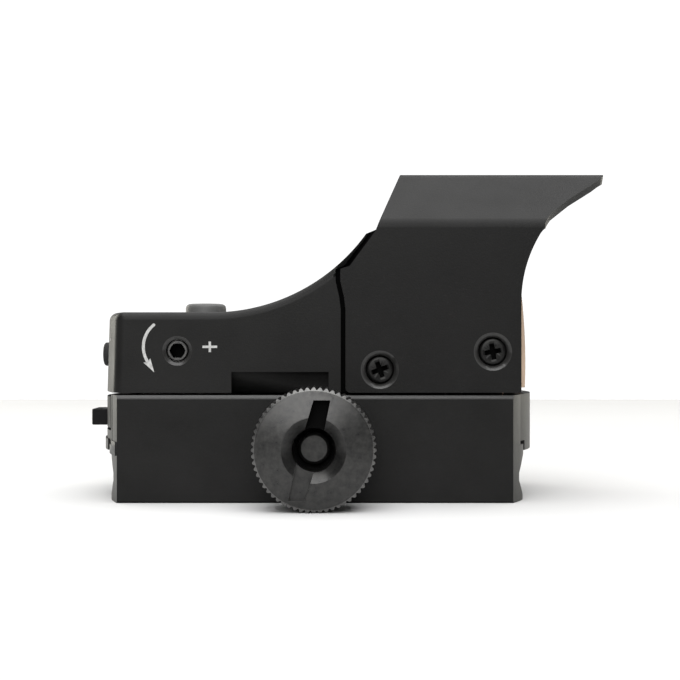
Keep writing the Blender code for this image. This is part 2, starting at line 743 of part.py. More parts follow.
def arch_block(name, inset, bottom, low, high, bend_radius=0.0, material=None):
    return plate(name, arch(inset, bottom, bend_radius), low, high, "X", material)


def make_housing():
    body = plate("housing", housing_side(), -HOUSING_HALF_WIDTH, HOUSING_HALF_WIDTH, "Y", BLACK_PAINT)
    plan = bulged_outline(HOUSING_REAR, -HOUSING_HALF_WIDTH - 1, HOUSING_HALF_WIDTH + 1, 35)
    outside = plate("housing_plan", plan, BLANK_BOTTOM - 1, 40, "Z")
    lean_forward(outside)
    cut(body, outside, "INTERSECT")
    round_edges(body, HOUSING_EDGE, segments=3, angle=60)
    cut(body, box("underside", (-40, -20, 0), (40, 20, HOUSING_BOTTOM)))
    cut(body, step_for_hood())
    cut(body, hollow_around_arch())
    cavity = bulged_outline(CAVITY_REAR, -CAVITY_HALF_WIDTH, CAVITY_HALF_WIDTH, CAVITY_FRONT)
    cut(body, plate("cavity", cavity, HOUSING_BOTTOM - 1, CAVITY_TOP, "Z"))
    side = CHANNEL_HALF_WIDTH
    cut(body, box("channel", (CHANNEL_REAR, -side, CHANNEL_FLOOR), (FRAME_REAR, side, 40)))
    half = WINDOW_HALF_WIDTH
    shoulder = WINDOW_TOP - WINDOW_SHOULDER
    flat = half - WINDOW_SHOULDER
    window = [(-half, WINDOW_BOTTOM), (half, WINDOW_BOTTOM), (half, shoulder)]
    window += [(flat, WINDOW_TOP), (-flat, WINDOW_TOP), (-half, shoulder)]
    window = rounded([(*corner, WINDOW_RADIUS) for corner in window])
    cut(body, plate("lens_window", window, FRAME_REAR - 1, 30, "X"))
    cut(body, lens_blank("lens_seat", 14.0, LENS_SEAT, radius=24.0))
    for side in (-1, 1):
        face = side * (HOUSING_HALF_WIDTH - RECESS_DEPTH)
        low, high = sorted((face, side * 20))
        cut(body, box("side_recess", (RECESS_X[0], low, 5), (RECESS_X[1], high, RECESS_TOP)))
    make_housing_holes(body)
    return body


def lean_forward(outside):
    """Leans the rear face forward as it rises."""
    for vertex in outside.data.vertices:
        if vertex.co.x < 0:
            vertex.co.x += (vertex.co.z - HOUSING_BOTTOM * MM) * REAR_LEAN / (DECK - HOUSING_BOTTOM)


def step_for_hood():
    """The room that the hood's two sides need, as one cutter."""
    inner = HOOD_HALF_WIDTH - HOOD_THICKNESS - GAP
    outline = hood_side(growth=GAP)
    outline = [(x if x < 25 else x + 20, z) for x, z in outline]
    step = plate("hood_step", outline, -20, 20, "Y")
    middle = box("hood_step_middle", (-20, -inner, 0), (70, inner, 60))
    return cut(step, middle)


def hollow_around_arch():
    """What lies outside the arch that fits under the hood."""
    block = box("outside_arch", (9.5, -25, 24), (45, 25, 60))
    inner = arch_block("under_hood", HOOD_THICKNESS + GAP, 0, 0, 50)
    return cut(block, inner)


def make_housing_holes(body):
    wall = -HOUSING_HALF_WIDTH
    cut(body, cylinder("windage_way", ADJUSTER_HOLE, wall - 1, wall + 1.4, "Y", WINDAGE))
    wide, narrow = ADJUSTER_LIP
    cut(body, cylinder("windage_lip", wide, wall - 0.5, wall + 0.3, "Y", WINDAGE, end_radius=narrow))
    shaft = ADJUSTER_SHAFT + FREE
    cut(body, cylinder("windage_shaft_way", shaft, wall - 1, wall + 3, "Y", WINDAGE, sides=16))
    deck_hole = (ELEVATION_X, 0)
    cut(body, cylinder("elevation_way", ADJUSTER_HOLE, DECK - 1.2, DECK + 1, "Z", deck_hole))
    cut(body, cylinder("elevation_lip", narrow, DECK - 0.3, DECK + 0.5, "Z", deck_hole, end_radius=wide))
    cut(body, cylinder("elevation_shaft_way", shaft, 15, 18, "Z", deck_hole, sides=16))
    button = (POWER_X, 0)
    cut(body, cylinder("power_recess", POWER_RADIUS + GAP, DECK - 0.9, DECK + 2, "Z", button, sides=32))
    cut(body, cylinder("power_stem_way", 1.25, 15, DECK, "Z", button, sides=16))
    cut(body, cylinder("mode_way", MODE_RADIUS + 0.2, -30, -24, "X", (0, MODE_HEIGHT)))
    cut(body, box("emitter_way", (-12, -2.6, 10.9), (-9, 2.6, 14.6)))
    top = BASE_SHANK_TOP + GAP
    for place in BASE_SCREWS:
        cut(body, cylinder("base_screw_way", BASE_HOLE_RADIUS, 5, top, "Z", place, sides=16))
    shank = HOOD_SCREW_SHANK + FREE
    for x, z, _ in HOOD_SCREWS:
        for low, high in ((-15, -11.2), (11.2, 15)):
            cut(body, cylinder("hood_screw_way", shank, low, high, "Y", (x, z), sides=16))


def make_bottom_cover():
    wide = CAVITY_HALF_WIDTH - GAP
    plan = bulged_outline(CAVITY_REAR, -wide, wide, CAVITY_FRONT - GAP, -GAP)
    cover = plate("bottom_cover", plan, HOUSING_BOTTOM + 0.02, 8.2, "Z", PLASTIC)
    cut(cover, box("negative_way", (-24.9, 3.6, 7), (-23.9, 6.4, 9)))
    low, high = RIM_CONTACT_X
    return cut(cover, box("positive_way", (low - 0.4, 7.3, 7), (high + 0.4, 8.8, 9)))


def make_hood():
    hood = arch_block("hood", 0.0, 0.0, 0, 45, 1.8, BLACK_PAINT)
    cut(hood, plate("hood_outline", hood_side(), -20, 20, "Y"), "INTERSECT")
    cut(hood, arch_block("hood_inside", HOOD_THICKNESS, -5.0, -5, 50, 0.8))
    bore = HOOD_SCREW_BORE
    lip = HOOD_SCREW_LIP
    throat = bore - 0.02
    floor = HOOD_HALF_WIDTH - HOOD_SCREW_BORE_DEPTH
    outer = HOOD_HALF_WIDTH + HOOD_SCREW_LIP_DEPTH
    inner = HOOD_HALF_WIDTH - HOOD_SCREW_LIP_DEPTH
    for x, z, _ in HOOD_SCREWS:
        place = (x, z)
        cut(hood, cylinder("hood_bore_near", bore, -20, -floor, "Y", place))
        cut(hood, cylinder("hood_bore_far", bore, floor, 20, "Y", place))
        cut(hood, cylinder("hood_lip_near", lip, -outer, -inner, "Y", place, end_radius=throat))
        cut(hood, cylinder("hood_lip_far", throat, inner, outer, "Y", place, end_radius=lip))
        cut(hood, cylinder("hood_hole", HOOD_SCREW_SHANK + FREE, -20, 20, "Y", place, sides=16))
    return hood


def make_hood_screw(name, x, z, turn, side):
    """A cross-head screw, seen end on from its own side."""
    face = HOOD_HALF_WIDTH - 0.1
    profile = [
        (0, face),
        (HOOD_SCREW_HEAD - 0.25, face),
        (HOOD_SCREW_HEAD, face - 0.2),
        (HOOD_SCREW_HEAD, face - HOOD_SCREW_HEAD_DEPTH),
        (HOOD_SCREW_SHANK, face - HOOD_SCREW_HEAD_DEPTH),
        (HOOD_SCREW_SHANK, face - HOOD_SCREW_LENGTH),
        (0, face - HOOD_SCREW_LENGTH),
    ]
    screw = turned(name, profile, "Y" if side > 0 else "-Y", (x, 0, z), BLACK_OXIDE, steps=20)
    for i, angle in enumerate((turn, turn + 90)):
        blade = box(f"{name}_cross_{i}", (-1.0, side * face - 0.45, -0.24), (1.0, side * face + 0.45, 0.24))
        blade.location = (x * MM, 0, z * MM)
        blade.rotation_euler = (0, math.radians(angle), 0)
        cut(screw, blade)
    return screw


def lens_blank(name, front, back, radius=18.5, material=None):
    """A round blank between two bowed faces, front and back being where they cross the lens axis."""

    def sag(r):
        return LENS_CURVE - math.sqrt(LENS_CURVE**2 - r * r)

    rings = [radius * i / 4 for i in range(5)]
    profile = [(r, front - sag(r)) for r in rings] + [(r, back - sag(r)) for r in reversed(rings)]
    x, z = LENS_CENTRE
    blank = turned(name, profile, "X", (x, 0, z), material, steps=28)
    tilt = Matrix.Rotation(math.radians(-LENS_TILT), 3, "Y")
    blank.rotation_euler = (tilt @ TURN["X"]).to_euler()
    return blank


def make_lens(name, front, back):
    lens = lens_blank(name, front, back, material=GLASS)
    return cut(lens, arch_block(name + "_outline", LENS_INSET, LENS_BOTTOM, 0, 40, 1.2), "INTERSECT")


def make_lens_seal():
    seal = lens_blank("lens_seal", -0.9, LENS_FACES[-1], radius=22.0, material=RUBBER)
    near = SEAL_TO_LENS
    far = near + SEAL_WIDTH
    cut(seal, arch_block("seal_outside", LENS_INSET - far, LENS_BOTTOM - far, 0, 40, 1.6), "INTERSECT")
    return cut(seal, arch_block("seal_inside", LENS_INSET - near, LENS_BOTTOM - near, 0, 40, 1.2))


def adjuster_profile(face, shoulder, end):
    """A set screw with a long plain shaft, its face at the top."""
    return [
        (0, face),
        (ADJUSTER_RADIUS - 0.15, face),
        (ADJUSTER_RADIUS, face - 0.15),
        (ADJUSTER_RADIUS, shoulder),
        (ADJUSTER_SHAFT, shoulder),
        (ADJUSTER_SHAFT, end),
        (0, end),
    ]


def clip_profile(top):
    inner = ADJUSTER_SHAFT + 0.1
    low = top - CLIP_THICKNESS
    return [(CLIP_RADIUS, top), (CLIP_RADIUS, low), (inner, low), (inner, top)]


def make_adjusters():
    x, z = WINDAGE
    face = HOUSING_HALF_WIDTH - ADJUSTER_SUNK
    shape = adjuster_profile(face, WINDAGE_SHOULDER, WINDAGE_SHAFT_END)
    screw = turned("windage_screw", shape, "-Y", (x, 0, z), BLACK_OXIDE, steps=20)
    cut(screw, plate("windage_socket", hexagon(WINDAGE, SOCKET), -face - 1, SOCKET_DEPTH - face, "Y"))
    turned("windage_clip", clip_profile(11.75), "-Y", (x, 0, z), STEEL, closed=True)
    face = DECK - ADJUSTER_SUNK
    place = (ELEVATION_X, 0, 0)
    shape = adjuster_profile(face, ELEVATION_SHOULDER, ELEVATION_SHAFT_END)
    screw = turned("elevation_screw", shape, "Z", place, BLACK_OXIDE, steps=20)
    cut(screw, plate("elevation_socket", hexagon((ELEVATION_X, 0), SOCKET), face - 0.5, face + 1, "Z"))
    turned("elevation_clip", clip_profile(15.95), "Z", place, STEEL, closed=True)


def make_windage_carriage():
    x, z = WINDAGE
    length, width, (low, high) = WINDAGE_CARRIAGE
    corners = [(x + side * length / 2, side * width / 2, level) for side, level in ((-1, low), (1, high))]
    block = box("windage_carriage", *corners, BRASS)
    cut(block, cylinder("carriage_way", ADJUSTER_SHAFT + 0.1, -10, 10, "Y", WINDAGE, sides=16))
    put_origin(block, (x, 0, z))
    return block


def make_emitter_carriage():
    block = box("emitter_carriage", *CARRIAGE_FLOOR, BRASS)
    cut(block, box("carriage_front", *CARRIAGE_FRONT), "UNION")
    cut(block, box("carriage_rear", *CARRIAGE_REAR), "UNION")
    slot = ADJUSTER_SHAFT + 0.1
    cut(block, box("lift_way", (ELEVATION_X - slot, -1.5, 8), (ELEVATION_X + slot, 1.5, 14)))
    bore = EMITTER_RADIUS + FREE
    cut(block, cylinder("emitter_bore", bore, -16, -12, "X", (0, EMITTER_HEIGHT), sides=20))
    cut(block, box("emitter_spring_way", (-14.7, -1.8, 8), (-13.0, 1.8, 10.6)))
    put_origin(block, (ELEVATION_X, 0, EMITTER_HEIGHT))
    return block


def make_emitter():
    wide = EMITTER_RADIUS
    profile = [(0, -11.75), (wide / 2, -11.85), (0.85, -12.15), (wide, -12.6), (wide, -14.8), (0, -14.8)]
    turned("dot_emitter", profile, "X", (0, 0, EMITTER_HEIGHT), RED_LENS, steps=20)
    ring = [(1.7, -12.15), (1.7, -12.45), (1.15, -12.45), (1.15, -12.15)]
    turned("reticle_mask", ring, "X", (0, 0, EMITTER_HEIGHT), BLACK_OXIDE, closed=True)
    box("emitter_window", (-11.0, -2.4, 11.1), (-10.4, 2.4, 14.4), GLASS)


def make_electronics():
    wide = BOARD_HALF_WIDTH
    plan = bulged_outline(CAVITY_REAR, -wide, wide, BOARD_FRONT, -BOARD_INSET)
    board = plate("circuit_board", plan, BOARD_BOTTOM, BOARD_TOP, "Z", BOARD_GREEN)
    cut(board, cylinder("board_hole", 1.7, 13, 16, "Z", (ELEVATION_X, 0)))
    half = SWITCH_SIDE / 2
    low, high = BOARD_TOP + FREE, BOARD_TOP + 0.6
    power = box("power_switch", (POWER_X - half, -half, low), (POWER_X + half, half, high), STEEL)
    round_edges(power, 0.12, 1)
    low, high = BOARD_BOTTOM - 3.1, BOARD_BOTTOM - FREE
    mode = box("mode_switch", (-25.2, -half, low), (-24.3, half, high), STEEL)
    round_edges(mode, 0.12, 1)
    leaf = [(-24.5, CONTACT_TOP), (-24.5, 7.45), (-18.6, 7.45), (-17.8, 7.05), (-17.0, 7.05), (-16.2, 7.45)]
    strip(leaf, "contact_negative", *LEAF_CONTACT_Y)
    side = [(8.0, CONTACT_TOP), (8.0, 6.4), (7.75, 5.6), (7.75, 5.0), (8.0, 4.7)]
    strip(side, "contact_positive", *RIM_CONTACT_X, axis="X")


def strip(route, name, low, high, axis="Y", thickness=0.15):
    """A bent leaf of sheet metal that follows a route, its thickness above and outside it."""
    back = [(u + thickness, v + thickness) for u, v in reversed(route)]
    return plate(name, route + back, low, high, axis, BRASS)


def make_power_button():
    profile = [
        (0, POWER_TOP),
        (POWER_RADIUS - 0.6, POWER_TOP - 0.03),
        (POWER_RADIUS - 0.2, POWER_TOP - 0.16),
        (POWER_RADIUS - 0.04, POWER_TOP - 0.5),
        (POWER_RADIUS, DECK - 0.3),
        (1.0, DECK - 0.3),
        (1.0, 15.85),
        (0, 15.85),
    ]
    return turned("power_button", profile, "Z", (POWER_X, 0, 0), GREY_RUBBER, steps=36)


def make_mode_button():
    flange = MODE_FLANGE
    stem = flange + 0.5
    profile = [
        (0, stem),
        (0.8, stem),
        (0.8, flange + 0.4),
        (2.1, flange + 0.4),
        (2.1, flange),
        (MODE_RADIUS, flange),
        (MODE_RADIUS, MODE_END + 0.35),
        (MODE_RADIUS - 0.35, MODE_END),
        (0, MODE_END),
    ]
    return turned("mode_button", profile, "X", (0, 0, MODE_HEIGHT), RUBBER)


def make_clamp():
    make_stud()
    jaw = make_clamp_plate()
    knob = make_knob()
    washer = make_washer()
    pins = [make_jaw_pin("jaw_pin_rear", -PIN_X), make_jaw_pin("jaw_pin_front", PIN_X)]
    carry(jaw, knob, washer, *pins)
    spring_end = JAW_SPRING_POCKET - FREE
    for name, x in (("jaw_spring_rear", -PIN_X), ("jaw_spring_front", PIN_X)):
        place = (x, PIN_HEIGHT)
        ends = (PLATE_SKIRT_FACE + FREE, spring_end)
        make_coil(name, ends, "Y", place, JAW_SPRING_RADIUS, JAW_SPRING_WIRE, turns=4)


def make_optics():
    make_lens("lens_front", *LENS_FACES[:2])
    make_lens("lens_rear", *LENS_FACES[2:])
    make_lens_seal()
    make_hood()
    number = 1
    for side in (-1, 1):
        for x, z, turn in HOOD_SCREWS:
            make_hood_screw(f"hood_screw_{number}", x, z, turn, side)
            number += 1


def make_dot_projector():
    make_adjusters()
    windage = make_windage_carriage()
    lift = make_emitter_carriage()
    make_emitter()
    carry(lift, bpy.data.objects["dot_emitter"], bpy.data.objects["reticle_mask"])
    carry(windage, lift)
    make_coil("windage_spring", (5.15, 11.85), "Y", WINDAGE, radius=1.0, wire=0.13, turns=4)
    make_coil("emitter_spring", (8.3, 10.5), "Z", (-13.85, 0), radius=0.55, wire=0.1, turns=3)


def make_mount():
    make_mount_body()
    for i, place in enumerate(BASE_SCREWS, 1):
        make_base_screw(f"base_screw_{i}", place)
    carry(make_battery_tray(), make_coin())


make_mount()
make_clamp()
make_housing()
make_bottom_cover()
make_electronics()
make_optics()
make_dot_projector()
make_power_button()
make_mode_button()
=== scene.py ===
"""Looks of a compact open reflex sight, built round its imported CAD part. Lengths are in mm, until MM."""
import math

import bmesh
import bpy
from mathutils import Matrix, Vector


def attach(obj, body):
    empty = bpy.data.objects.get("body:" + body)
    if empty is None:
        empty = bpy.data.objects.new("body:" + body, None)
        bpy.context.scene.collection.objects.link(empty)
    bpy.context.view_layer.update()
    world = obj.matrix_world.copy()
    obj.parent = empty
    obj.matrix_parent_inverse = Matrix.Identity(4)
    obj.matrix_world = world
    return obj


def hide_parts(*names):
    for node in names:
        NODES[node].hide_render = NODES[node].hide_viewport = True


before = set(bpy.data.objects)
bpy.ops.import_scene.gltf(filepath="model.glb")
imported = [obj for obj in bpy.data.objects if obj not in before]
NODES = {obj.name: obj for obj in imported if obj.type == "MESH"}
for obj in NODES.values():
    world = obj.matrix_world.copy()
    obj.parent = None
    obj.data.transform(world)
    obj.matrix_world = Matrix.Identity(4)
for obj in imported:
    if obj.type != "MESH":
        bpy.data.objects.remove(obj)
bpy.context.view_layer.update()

MM = 0.001
RIGHT_TURN = math.radians(90)


# ---------------------------------------------------------------- meshes

def place(axis, u, v, w):
    """A point from its two coordinates across an axis and its height along it."""
    if axis == "X":
        return Vector((w, u, v)) * MM
    if axis == "Y":
        return Vector((u, w, v)) * MM
    if axis == "-Y":
        return Vector((u, -w, v)) * MM
    return Vector((u, v, w)) * MM


def to_object(name, shape):
    """Turns a bmesh into an object, with its faces looking outwards."""
    bmesh.ops.recalc_face_normals(shape, faces=shape.faces)
    mesh = bpy.data.meshes.new(name)
    shape.to_mesh(mesh)
    shape.free()
    obj = bpy.data.objects.new(name, mesh)
    bpy.context.scene.collection.objects.link(obj)
    return obj


def slab(name, outline, low, high, axis):
    """A flat outline given thickness along an axis."""
    shape = bmesh.new()
    bottom = [shape.verts.new(place(axis, u, v, low)) for u, v in outline]
    top = [shape.verts.new(place(axis, u, v, high)) for u, v in outline]
    shape.faces.new(bottom)
    shape.faces.new(top)
    for i in range(len(outline)):
        shape.faces.new((bottom[i - 1], bottom[i], top[i], top[i - 1]))
    return to_object(name, shape)


def box(name, low, high):
    """A block between two corners."""
    outline = [(low[0], low[1]), (high[0], low[1]), (high[0], high[1]), (low[0], high[1])]
    return slab(name, outline, low[2], high[2], "Z")


def turned(name, profile, axis, centre=(0, 0), steps=96, closed=False):
    """A profile of (radius, height) points turned about an axis."""
    shape = bmesh.new()
    rings = []
    for radius, height in profile:
        count = steps if radius else 1
        ring = []
        for i in range(count):
            angle = math.tau * i / count
            u = centre[0] + radius * math.cos(angle)
            v = centre[1] + radius * math.sin(angle)
            ring.append(shape.verts.new(place(axis, u, v, height)))
        rings.append(ring)
    pairs = list(zip(rings, rings[1:]))
    if closed:
        pairs.append((rings[-1], rings[0]))
    for a, b in pairs:
        for i in range(steps):
            j = (i + 1) % steps
            corners = dict.fromkeys((a[i % len(a)], a[j % len(a)], b[j % len(b)], b[i % len(b)]))
            if len(corners) > 2:
                shape.faces.new(list(corners))
    return to_object(name, shape)


def rod(name, radius, low, high, axis, centre, steps=64, end_radius=None):
    """A round bar between two heights, tapered where its end has a radius of its own."""
    end = radius if end_radius is None else end_radius
    return turned(name, [(0, low), (radius, low), (end, high), (0, high)], axis, centre, steps)


def cut(obj, cutter, operation="DIFFERENCE"):
    """Adds a boolean step, which settle() carries out later."""
    cutter.hide_render = True
    step = obj.modifiers.new(cutter.name, "BOOLEAN")
    step.operation = operation
    step.object = cutter
    return obj


def ease(obj, width, segments=3, angle=35, harden=True):
    """Rounds the edges that are sharper than an angle."""
    step = obj.modifiers.new("ease", "BEVEL")
    step.width = width * MM
    step.segments = segments
    step.limit_method = "ANGLE"
    step.angle_limit = math.radians(angle)
    step.harden_normals = harden
    step.miter_outer = "MITER_ARC"
    return obj


def settle(obj, angle=40):
    """Makes the modifiers' result the mesh itself, and removes the cutters."""
    cutters = [m.object for m in obj.modifiers if m.type == "BOOLEAN"]
    for cutter in list(cutters):
        cutters += [m.object for m in cutter.modifiers if m.type == "BOOLEAN"]
    seen = bpy.context.evaluated_depsgraph_get()
    mesh = bpy.data.meshes.new_from_object(obj.evaluated_get(seen))
    obj.modifiers.clear()
    obj.data = mesh
    for cutter in cutters:
        bpy.data.objects.remove(cutter, do_unlink=True)
    shape = bmesh.new()
    shape.from_mesh(mesh)
    bmesh.ops.remove_doubles(shape, verts=shape.verts, dist=2e-7)
    bmesh.ops.dissolve_degenerate(shape, edges=shape.edges, dist=1e-7)
    shape.to_mesh(mesh)
    shape.free()
    mesh.shade_smooth()
    mesh.set_sharp_from_angle(angle=math.radians(angle))
    weigh = obj.modifiers.new("weigh", "WEIGHTED_NORMAL")
    weigh.keep_sharp = True
    weigh.weight = 80
    return obj


def wear(obj, material, body, slot, *nodes):
    """Gives a piece its material, lets it ride on a body, and lets it stand for CAD nodes."""
    obj.data.materials.clear()
    obj.data.materials.append(material)
    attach(obj, body)
    if nodes:
        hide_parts(*nodes)
    return obj


def patch(obj, material, chosen):
    """Gives one more material to the faces that a test on their centre, in mm, and normal picks."""
    obj.data.materials.append(material)
    for face in obj.data.polygons:
        if chosen(face.center / MM, face.normal):
            face.material_index = len(obj.data.materials) - 1


def arc(centre, radius, start, end, steps):
    """Points along an arc, its angles in degrees."""
    angles = [math.radians(start + (end - start) * i / steps) for i in range(steps + 1)]
    return [(centre[0] + radius * math.cos(a), centre[1] + radius * math.sin(a)) for a in angles]


def rounded(corners, steps=8):
    """An outline from (u, v, radius) corners, each rounded by its radius."""
    outline = []
    for i, (u, v, radius) in enumerate(corners):
        here = Vector((u, v))
        if not radius:
            outline.append((u, v))
            continue
        before = (Vector(corners[i - 1][:2]) - here).normalized()
        after = (Vector(corners[(i + 1) % len(corners)][:2]) - here).normalized()
        half = before.angle(after) / 2
        middle = here + (before + after).normalized() * (radius / math.sin(half))
        start = here + before * (radius / math.tan(half)) - middle
        end = here + after * (radius / math.tan(half)) - middle
        for j in range(steps + 1):
            outline.append(tuple(middle + start.slerp(end, j / steps) * radius))
    return outline


# ---------------------------------------------------------------- sizes, nearly all as the CAD has them

GAP = 0.3

# Mount and clamp. Each bulged end is its reach along x and its radius in plan.
BODY_FRONT = (28.5, 22.0)
BODY_REAR = (27.9, 26.7)
PLATE_FRONT = (28.0, 32.0)
PLATE_REAR = (27.35, 40.0)
REAR_LIP_PROUD = 0.22
REAR_LIP_TOP = 1.45
MOUNT_HALF_WIDTH = 14.0
MOUNT_TOP = 7.28
MOUNT_BOTTOM = -6.2
MOUNT_CHAMFER = 0.5
MOUNT_CHAMFER_DEPTH = 0.2
PLATE_INNER = -11.0
PLATE_SKIRT_INNER = -9.35
GUIDE_PINS = ((-5.6, 4.4), (5.6, 4.4))  # x, z
PIN_WAY = 1.05
BASE_SCREWS = ((18.0, -5.5), (18.0, 5.5), (-5.2, 4.2))  # x, y
STUD_HEIGHT = 1.2
STUD_END = 21.6
STUD_RADIUS = 1.75
STUD_WAY = 1.9
STUD_HEAD_INNER = -12.6
STUD_HEAD_FACE = -13.8
STUD_HEAD_RADIUS = 3.3
THREAD_RADIUS = 1.92
THREAD_ROOT = 1.66
THREAD_PITCH = 0.5
THREAD_TURNS = 9
KNOB_FACE = 25.3
KNOB_INNER = 15.1
KNOB_HEAD_INNER = 17.3
KNOB_RADIUS = 7.42
KNOB_HUB = 5.1
KNOB_BORE = 2.6
KNOB_THREAD_WAY = 2.0
KNOB_TEETH = 60
TOOTH_DEPTH = 0.34
TEETH_FROM = 6.98  # radius
SLOT_TILT = math.radians(13.8)
SLOT_SHIFT = -0.5
SLOT_DEPTH = 1.6
SLOT_REACH = 6.0

# Battery tray
TRAY_HALF_WIDTH = 8.9
CELL = (-17.6, 0)
CELL_POCKET = 8.15
TAB_HALF_WIDTH = 2.5

# Housing
HOUSING_REAR = (27.75, 37.5)
REAR_DRAFT = 0.31  # over the height from the bottom to the deck
CAVITY_REAR = (26.4, 32.0)
HOUSING_HALF_WIDTH = 13.8
HOUSING_BOTTOM = 7.58
HOUSING_EDGE = 1.0
DECK = 17.7
RAMP_RADIUS = 23.9
FRAME_REAR = 18.5
WINDOW_HALF_WIDTH = 10.6

# Hood, whose shoulders run from HOOD_BEND to HOOD_TOP at 45 degrees
HOOD_HALF_WIDTH = 14.3
HOOD_TOP = 35.65
HOOD_BEND = 28.95
HOOD_BOTTOM = 7.62
HOOD_FRONT = 25.76
HOOD_SWEEP = 16.3
HOOD_NOSE = 37.2
HOOD_THICKNESS = 1.2
HOOD_EDGE = 1.8
HOOD_ROOM = GAP + 0.3
HOOD_SCREWS = ((8.08, 10.49, 20.0), (22.19, 12.75, 10.0))  # x, z, turn in degrees
# The front edge of the shoulders, on their outer face, (x, z)
HOOD_LIP = [
    (28.62, 28.2), (28.74, HOOD_BEND), (29.6, 30.1), (30.9, 31.1), (32.2, 32.1), (33.8, 33.1), (35.4, 34.1),
    (36.85, 35.15), (HOOD_NOSE, 35.6), (HOOD_NOSE, 37),
]

# Lens, adjusters and buttons
LENS_CENTRE = (26.83, 21.0)
LENS_TILT = math.radians(-7.0)
LENS_CURVE = 80.0
WINDAGE = (-17.28, 12.85)
ELEVATION_X = -21.6
ADJUSTER_WAY = 1.42
ADJUSTER_LIP = 2.3
LIP_DEPTH = 0.45
LIP_RISE = 0.35  # how far a lip's cutter stands out of the face
SOCKET_HALF = 0.88  # half its width across flats
POWER_X = -14.96
MODE_HEIGHT = 12.3

# Marks
INK_BACK = 0.004
INK_FACE = 0.024
ARROW_CENTRE = (-18.0, 13.35)
ARROW_RADIUS = 3.52
ARROW_TIP = (-20.15, 10.15)
PLUS_CENTRE = (-13.2, 13.35)
INDEX_DOT = (-9.6, 14.25)  # y, z


def reach(bulge, y, proud=0.0):
    """How far a bulged end reaches at some y. A bulge is its distance to the end and its radius."""
    end, radius = bulge
    return end + proud - radius + math.sqrt(radius**2 - y * y)


def spread(low, high, steps=48):
    """Numbers from one to another in even steps."""
    return [low + (high - low) * i / steps for i in range(steps + 1)]


def bulged_outline(rear, low, high, front, proud=0.0, steps=48):
    """A plan outline between two y values. Its front is a bulge, or a plain number where it is straight."""
    behind = [(-reach(rear, y, proud), y) for y in spread(high, low, steps)]
    if isinstance(front, tuple):
        return behind + [(reach(front, y, proud), y) for y in spread(low, high, steps)]
    return behind + [(front, low), (front, high)]


def body_outline(half_width):
    """The mount body's plan: its ends curve in towards the plate beside it, and less on the far side."""
    outline = []
    for side, ends in ((-1, (BODY_REAR, PLATE_REAR)), (1, (BODY_FRONT, PLATE_FRONT))):
        for y in spread(-side * half_width, side * half_width):
            own, plate = (reach(bulge, y) for bulge in ends)
            outline.append((side * (max(own, plate) if y > 0 else own), y))
    return outline


def arch(inset, bottom, bend_radius=0.0):
    """The hood's section (y, z), moved in from its outside by an inset."""
    half = HOOD_HALF_WIDTH - inset
    top = HOOD_TOP - inset
    slant = HOOD_HALF_WIDTH + HOOD_BEND - inset * math.sqrt(2)
    right = [(half, bottom, 0.0), (half, slant - half, bend_radius), (slant - top, top, bend_radius)]
    left = [(-u, v, r) for u, v, r in reversed(right)]
    return rounded(right + left, 10)


# ---------------------------------------------------------------- mount and clamp

def groove_side(shift):
    """One side of the rail's groove (y, z), from its mouth up."""
    return [(8.75 + shift, MOUNT_BOTTOM), (8.75 + shift, -5.5), (10.65 + shift, -3.6), (10.65 + shift, -2.65)]


def outer_side(side):
    """One outer side of the mount (y, z), from the top down, with its two chamfers."""
    low = MOUNT_CHAMFER / 2
    return [
        (side * (MOUNT_HALF_WIDTH - MOUNT_CHAMFER_DEPTH), MOUNT_TOP),
        (side * MOUNT_HALF_WIDTH, MOUNT_TOP - MOUNT_CHAMFER),
        (side * MOUNT_HALF_WIDTH, MOUNT_BOTTOM + low),
        (side * (MOUNT_HALF_WIDTH - low), MOUNT_BOTTOM),
    ]


def make_mount_block():
    """The mount's body, with the tray's pocket and the ways for stud, pins, springs and screws."""
    section = [(-9.8, MOUNT_TOP)] + outer_side(1) + groove_side(0.0)
    section += [(8.0, 0.0), (-8.2, 0.0), (-8.2, 1.3), (-9.8, 1.3)]
    block = slab("mount_block", section, -29, 29, "X")
    plan = slab("mount_plan", body_outline(MOUNT_HALF_WIDTH + 1), MOUNT_BOTTOM - 1, MOUNT_TOP + 1, "Z")
    cut(block, plan, "INTERSECT")
    lip = bulged_outline(BODY_REAR, -8.1, 8.1, -26.0, REAR_LIP_PROUD)
    cut(block, slab("rear_lip", lip, 0.02, REAR_LIP_TOP, "Z"), "UNION")
    cut(block, box("tray_pocket", (-30, -9.2, 2.6), (-8.5, 9.2, 9)))
    centre = (0, STUD_HEIGHT)
    cut(block, rod("stud_way", STUD_WAY, -20, 20, "Y", centre))
    cut(block, rod("stud_head_way", 3.6, 12.45, 16, "Y", centre))
    cut(block, rod("stud_head_lip", 3.5, 13.55, 14.25, "Y", centre, end_radius=4.2))
    for pin in GUIDE_PINS:
        cut(block, rod("pin_way", PIN_WAY, -12, -2, "Y", pin, 32))
        cut(block, rod("spring_way", 1.77, -12, -6.6, "Y", pin, 32))
    for x, y in BASE_SCREWS:
        cut(block, rod("head_way", 2.3, -1, 2.05, "Z", (x, y), 48))
        cut(block, rod("shank_way", 1.4, 1.5, 9, "Z", (x, y), 32))
    return settle(ease(block, 0.12))


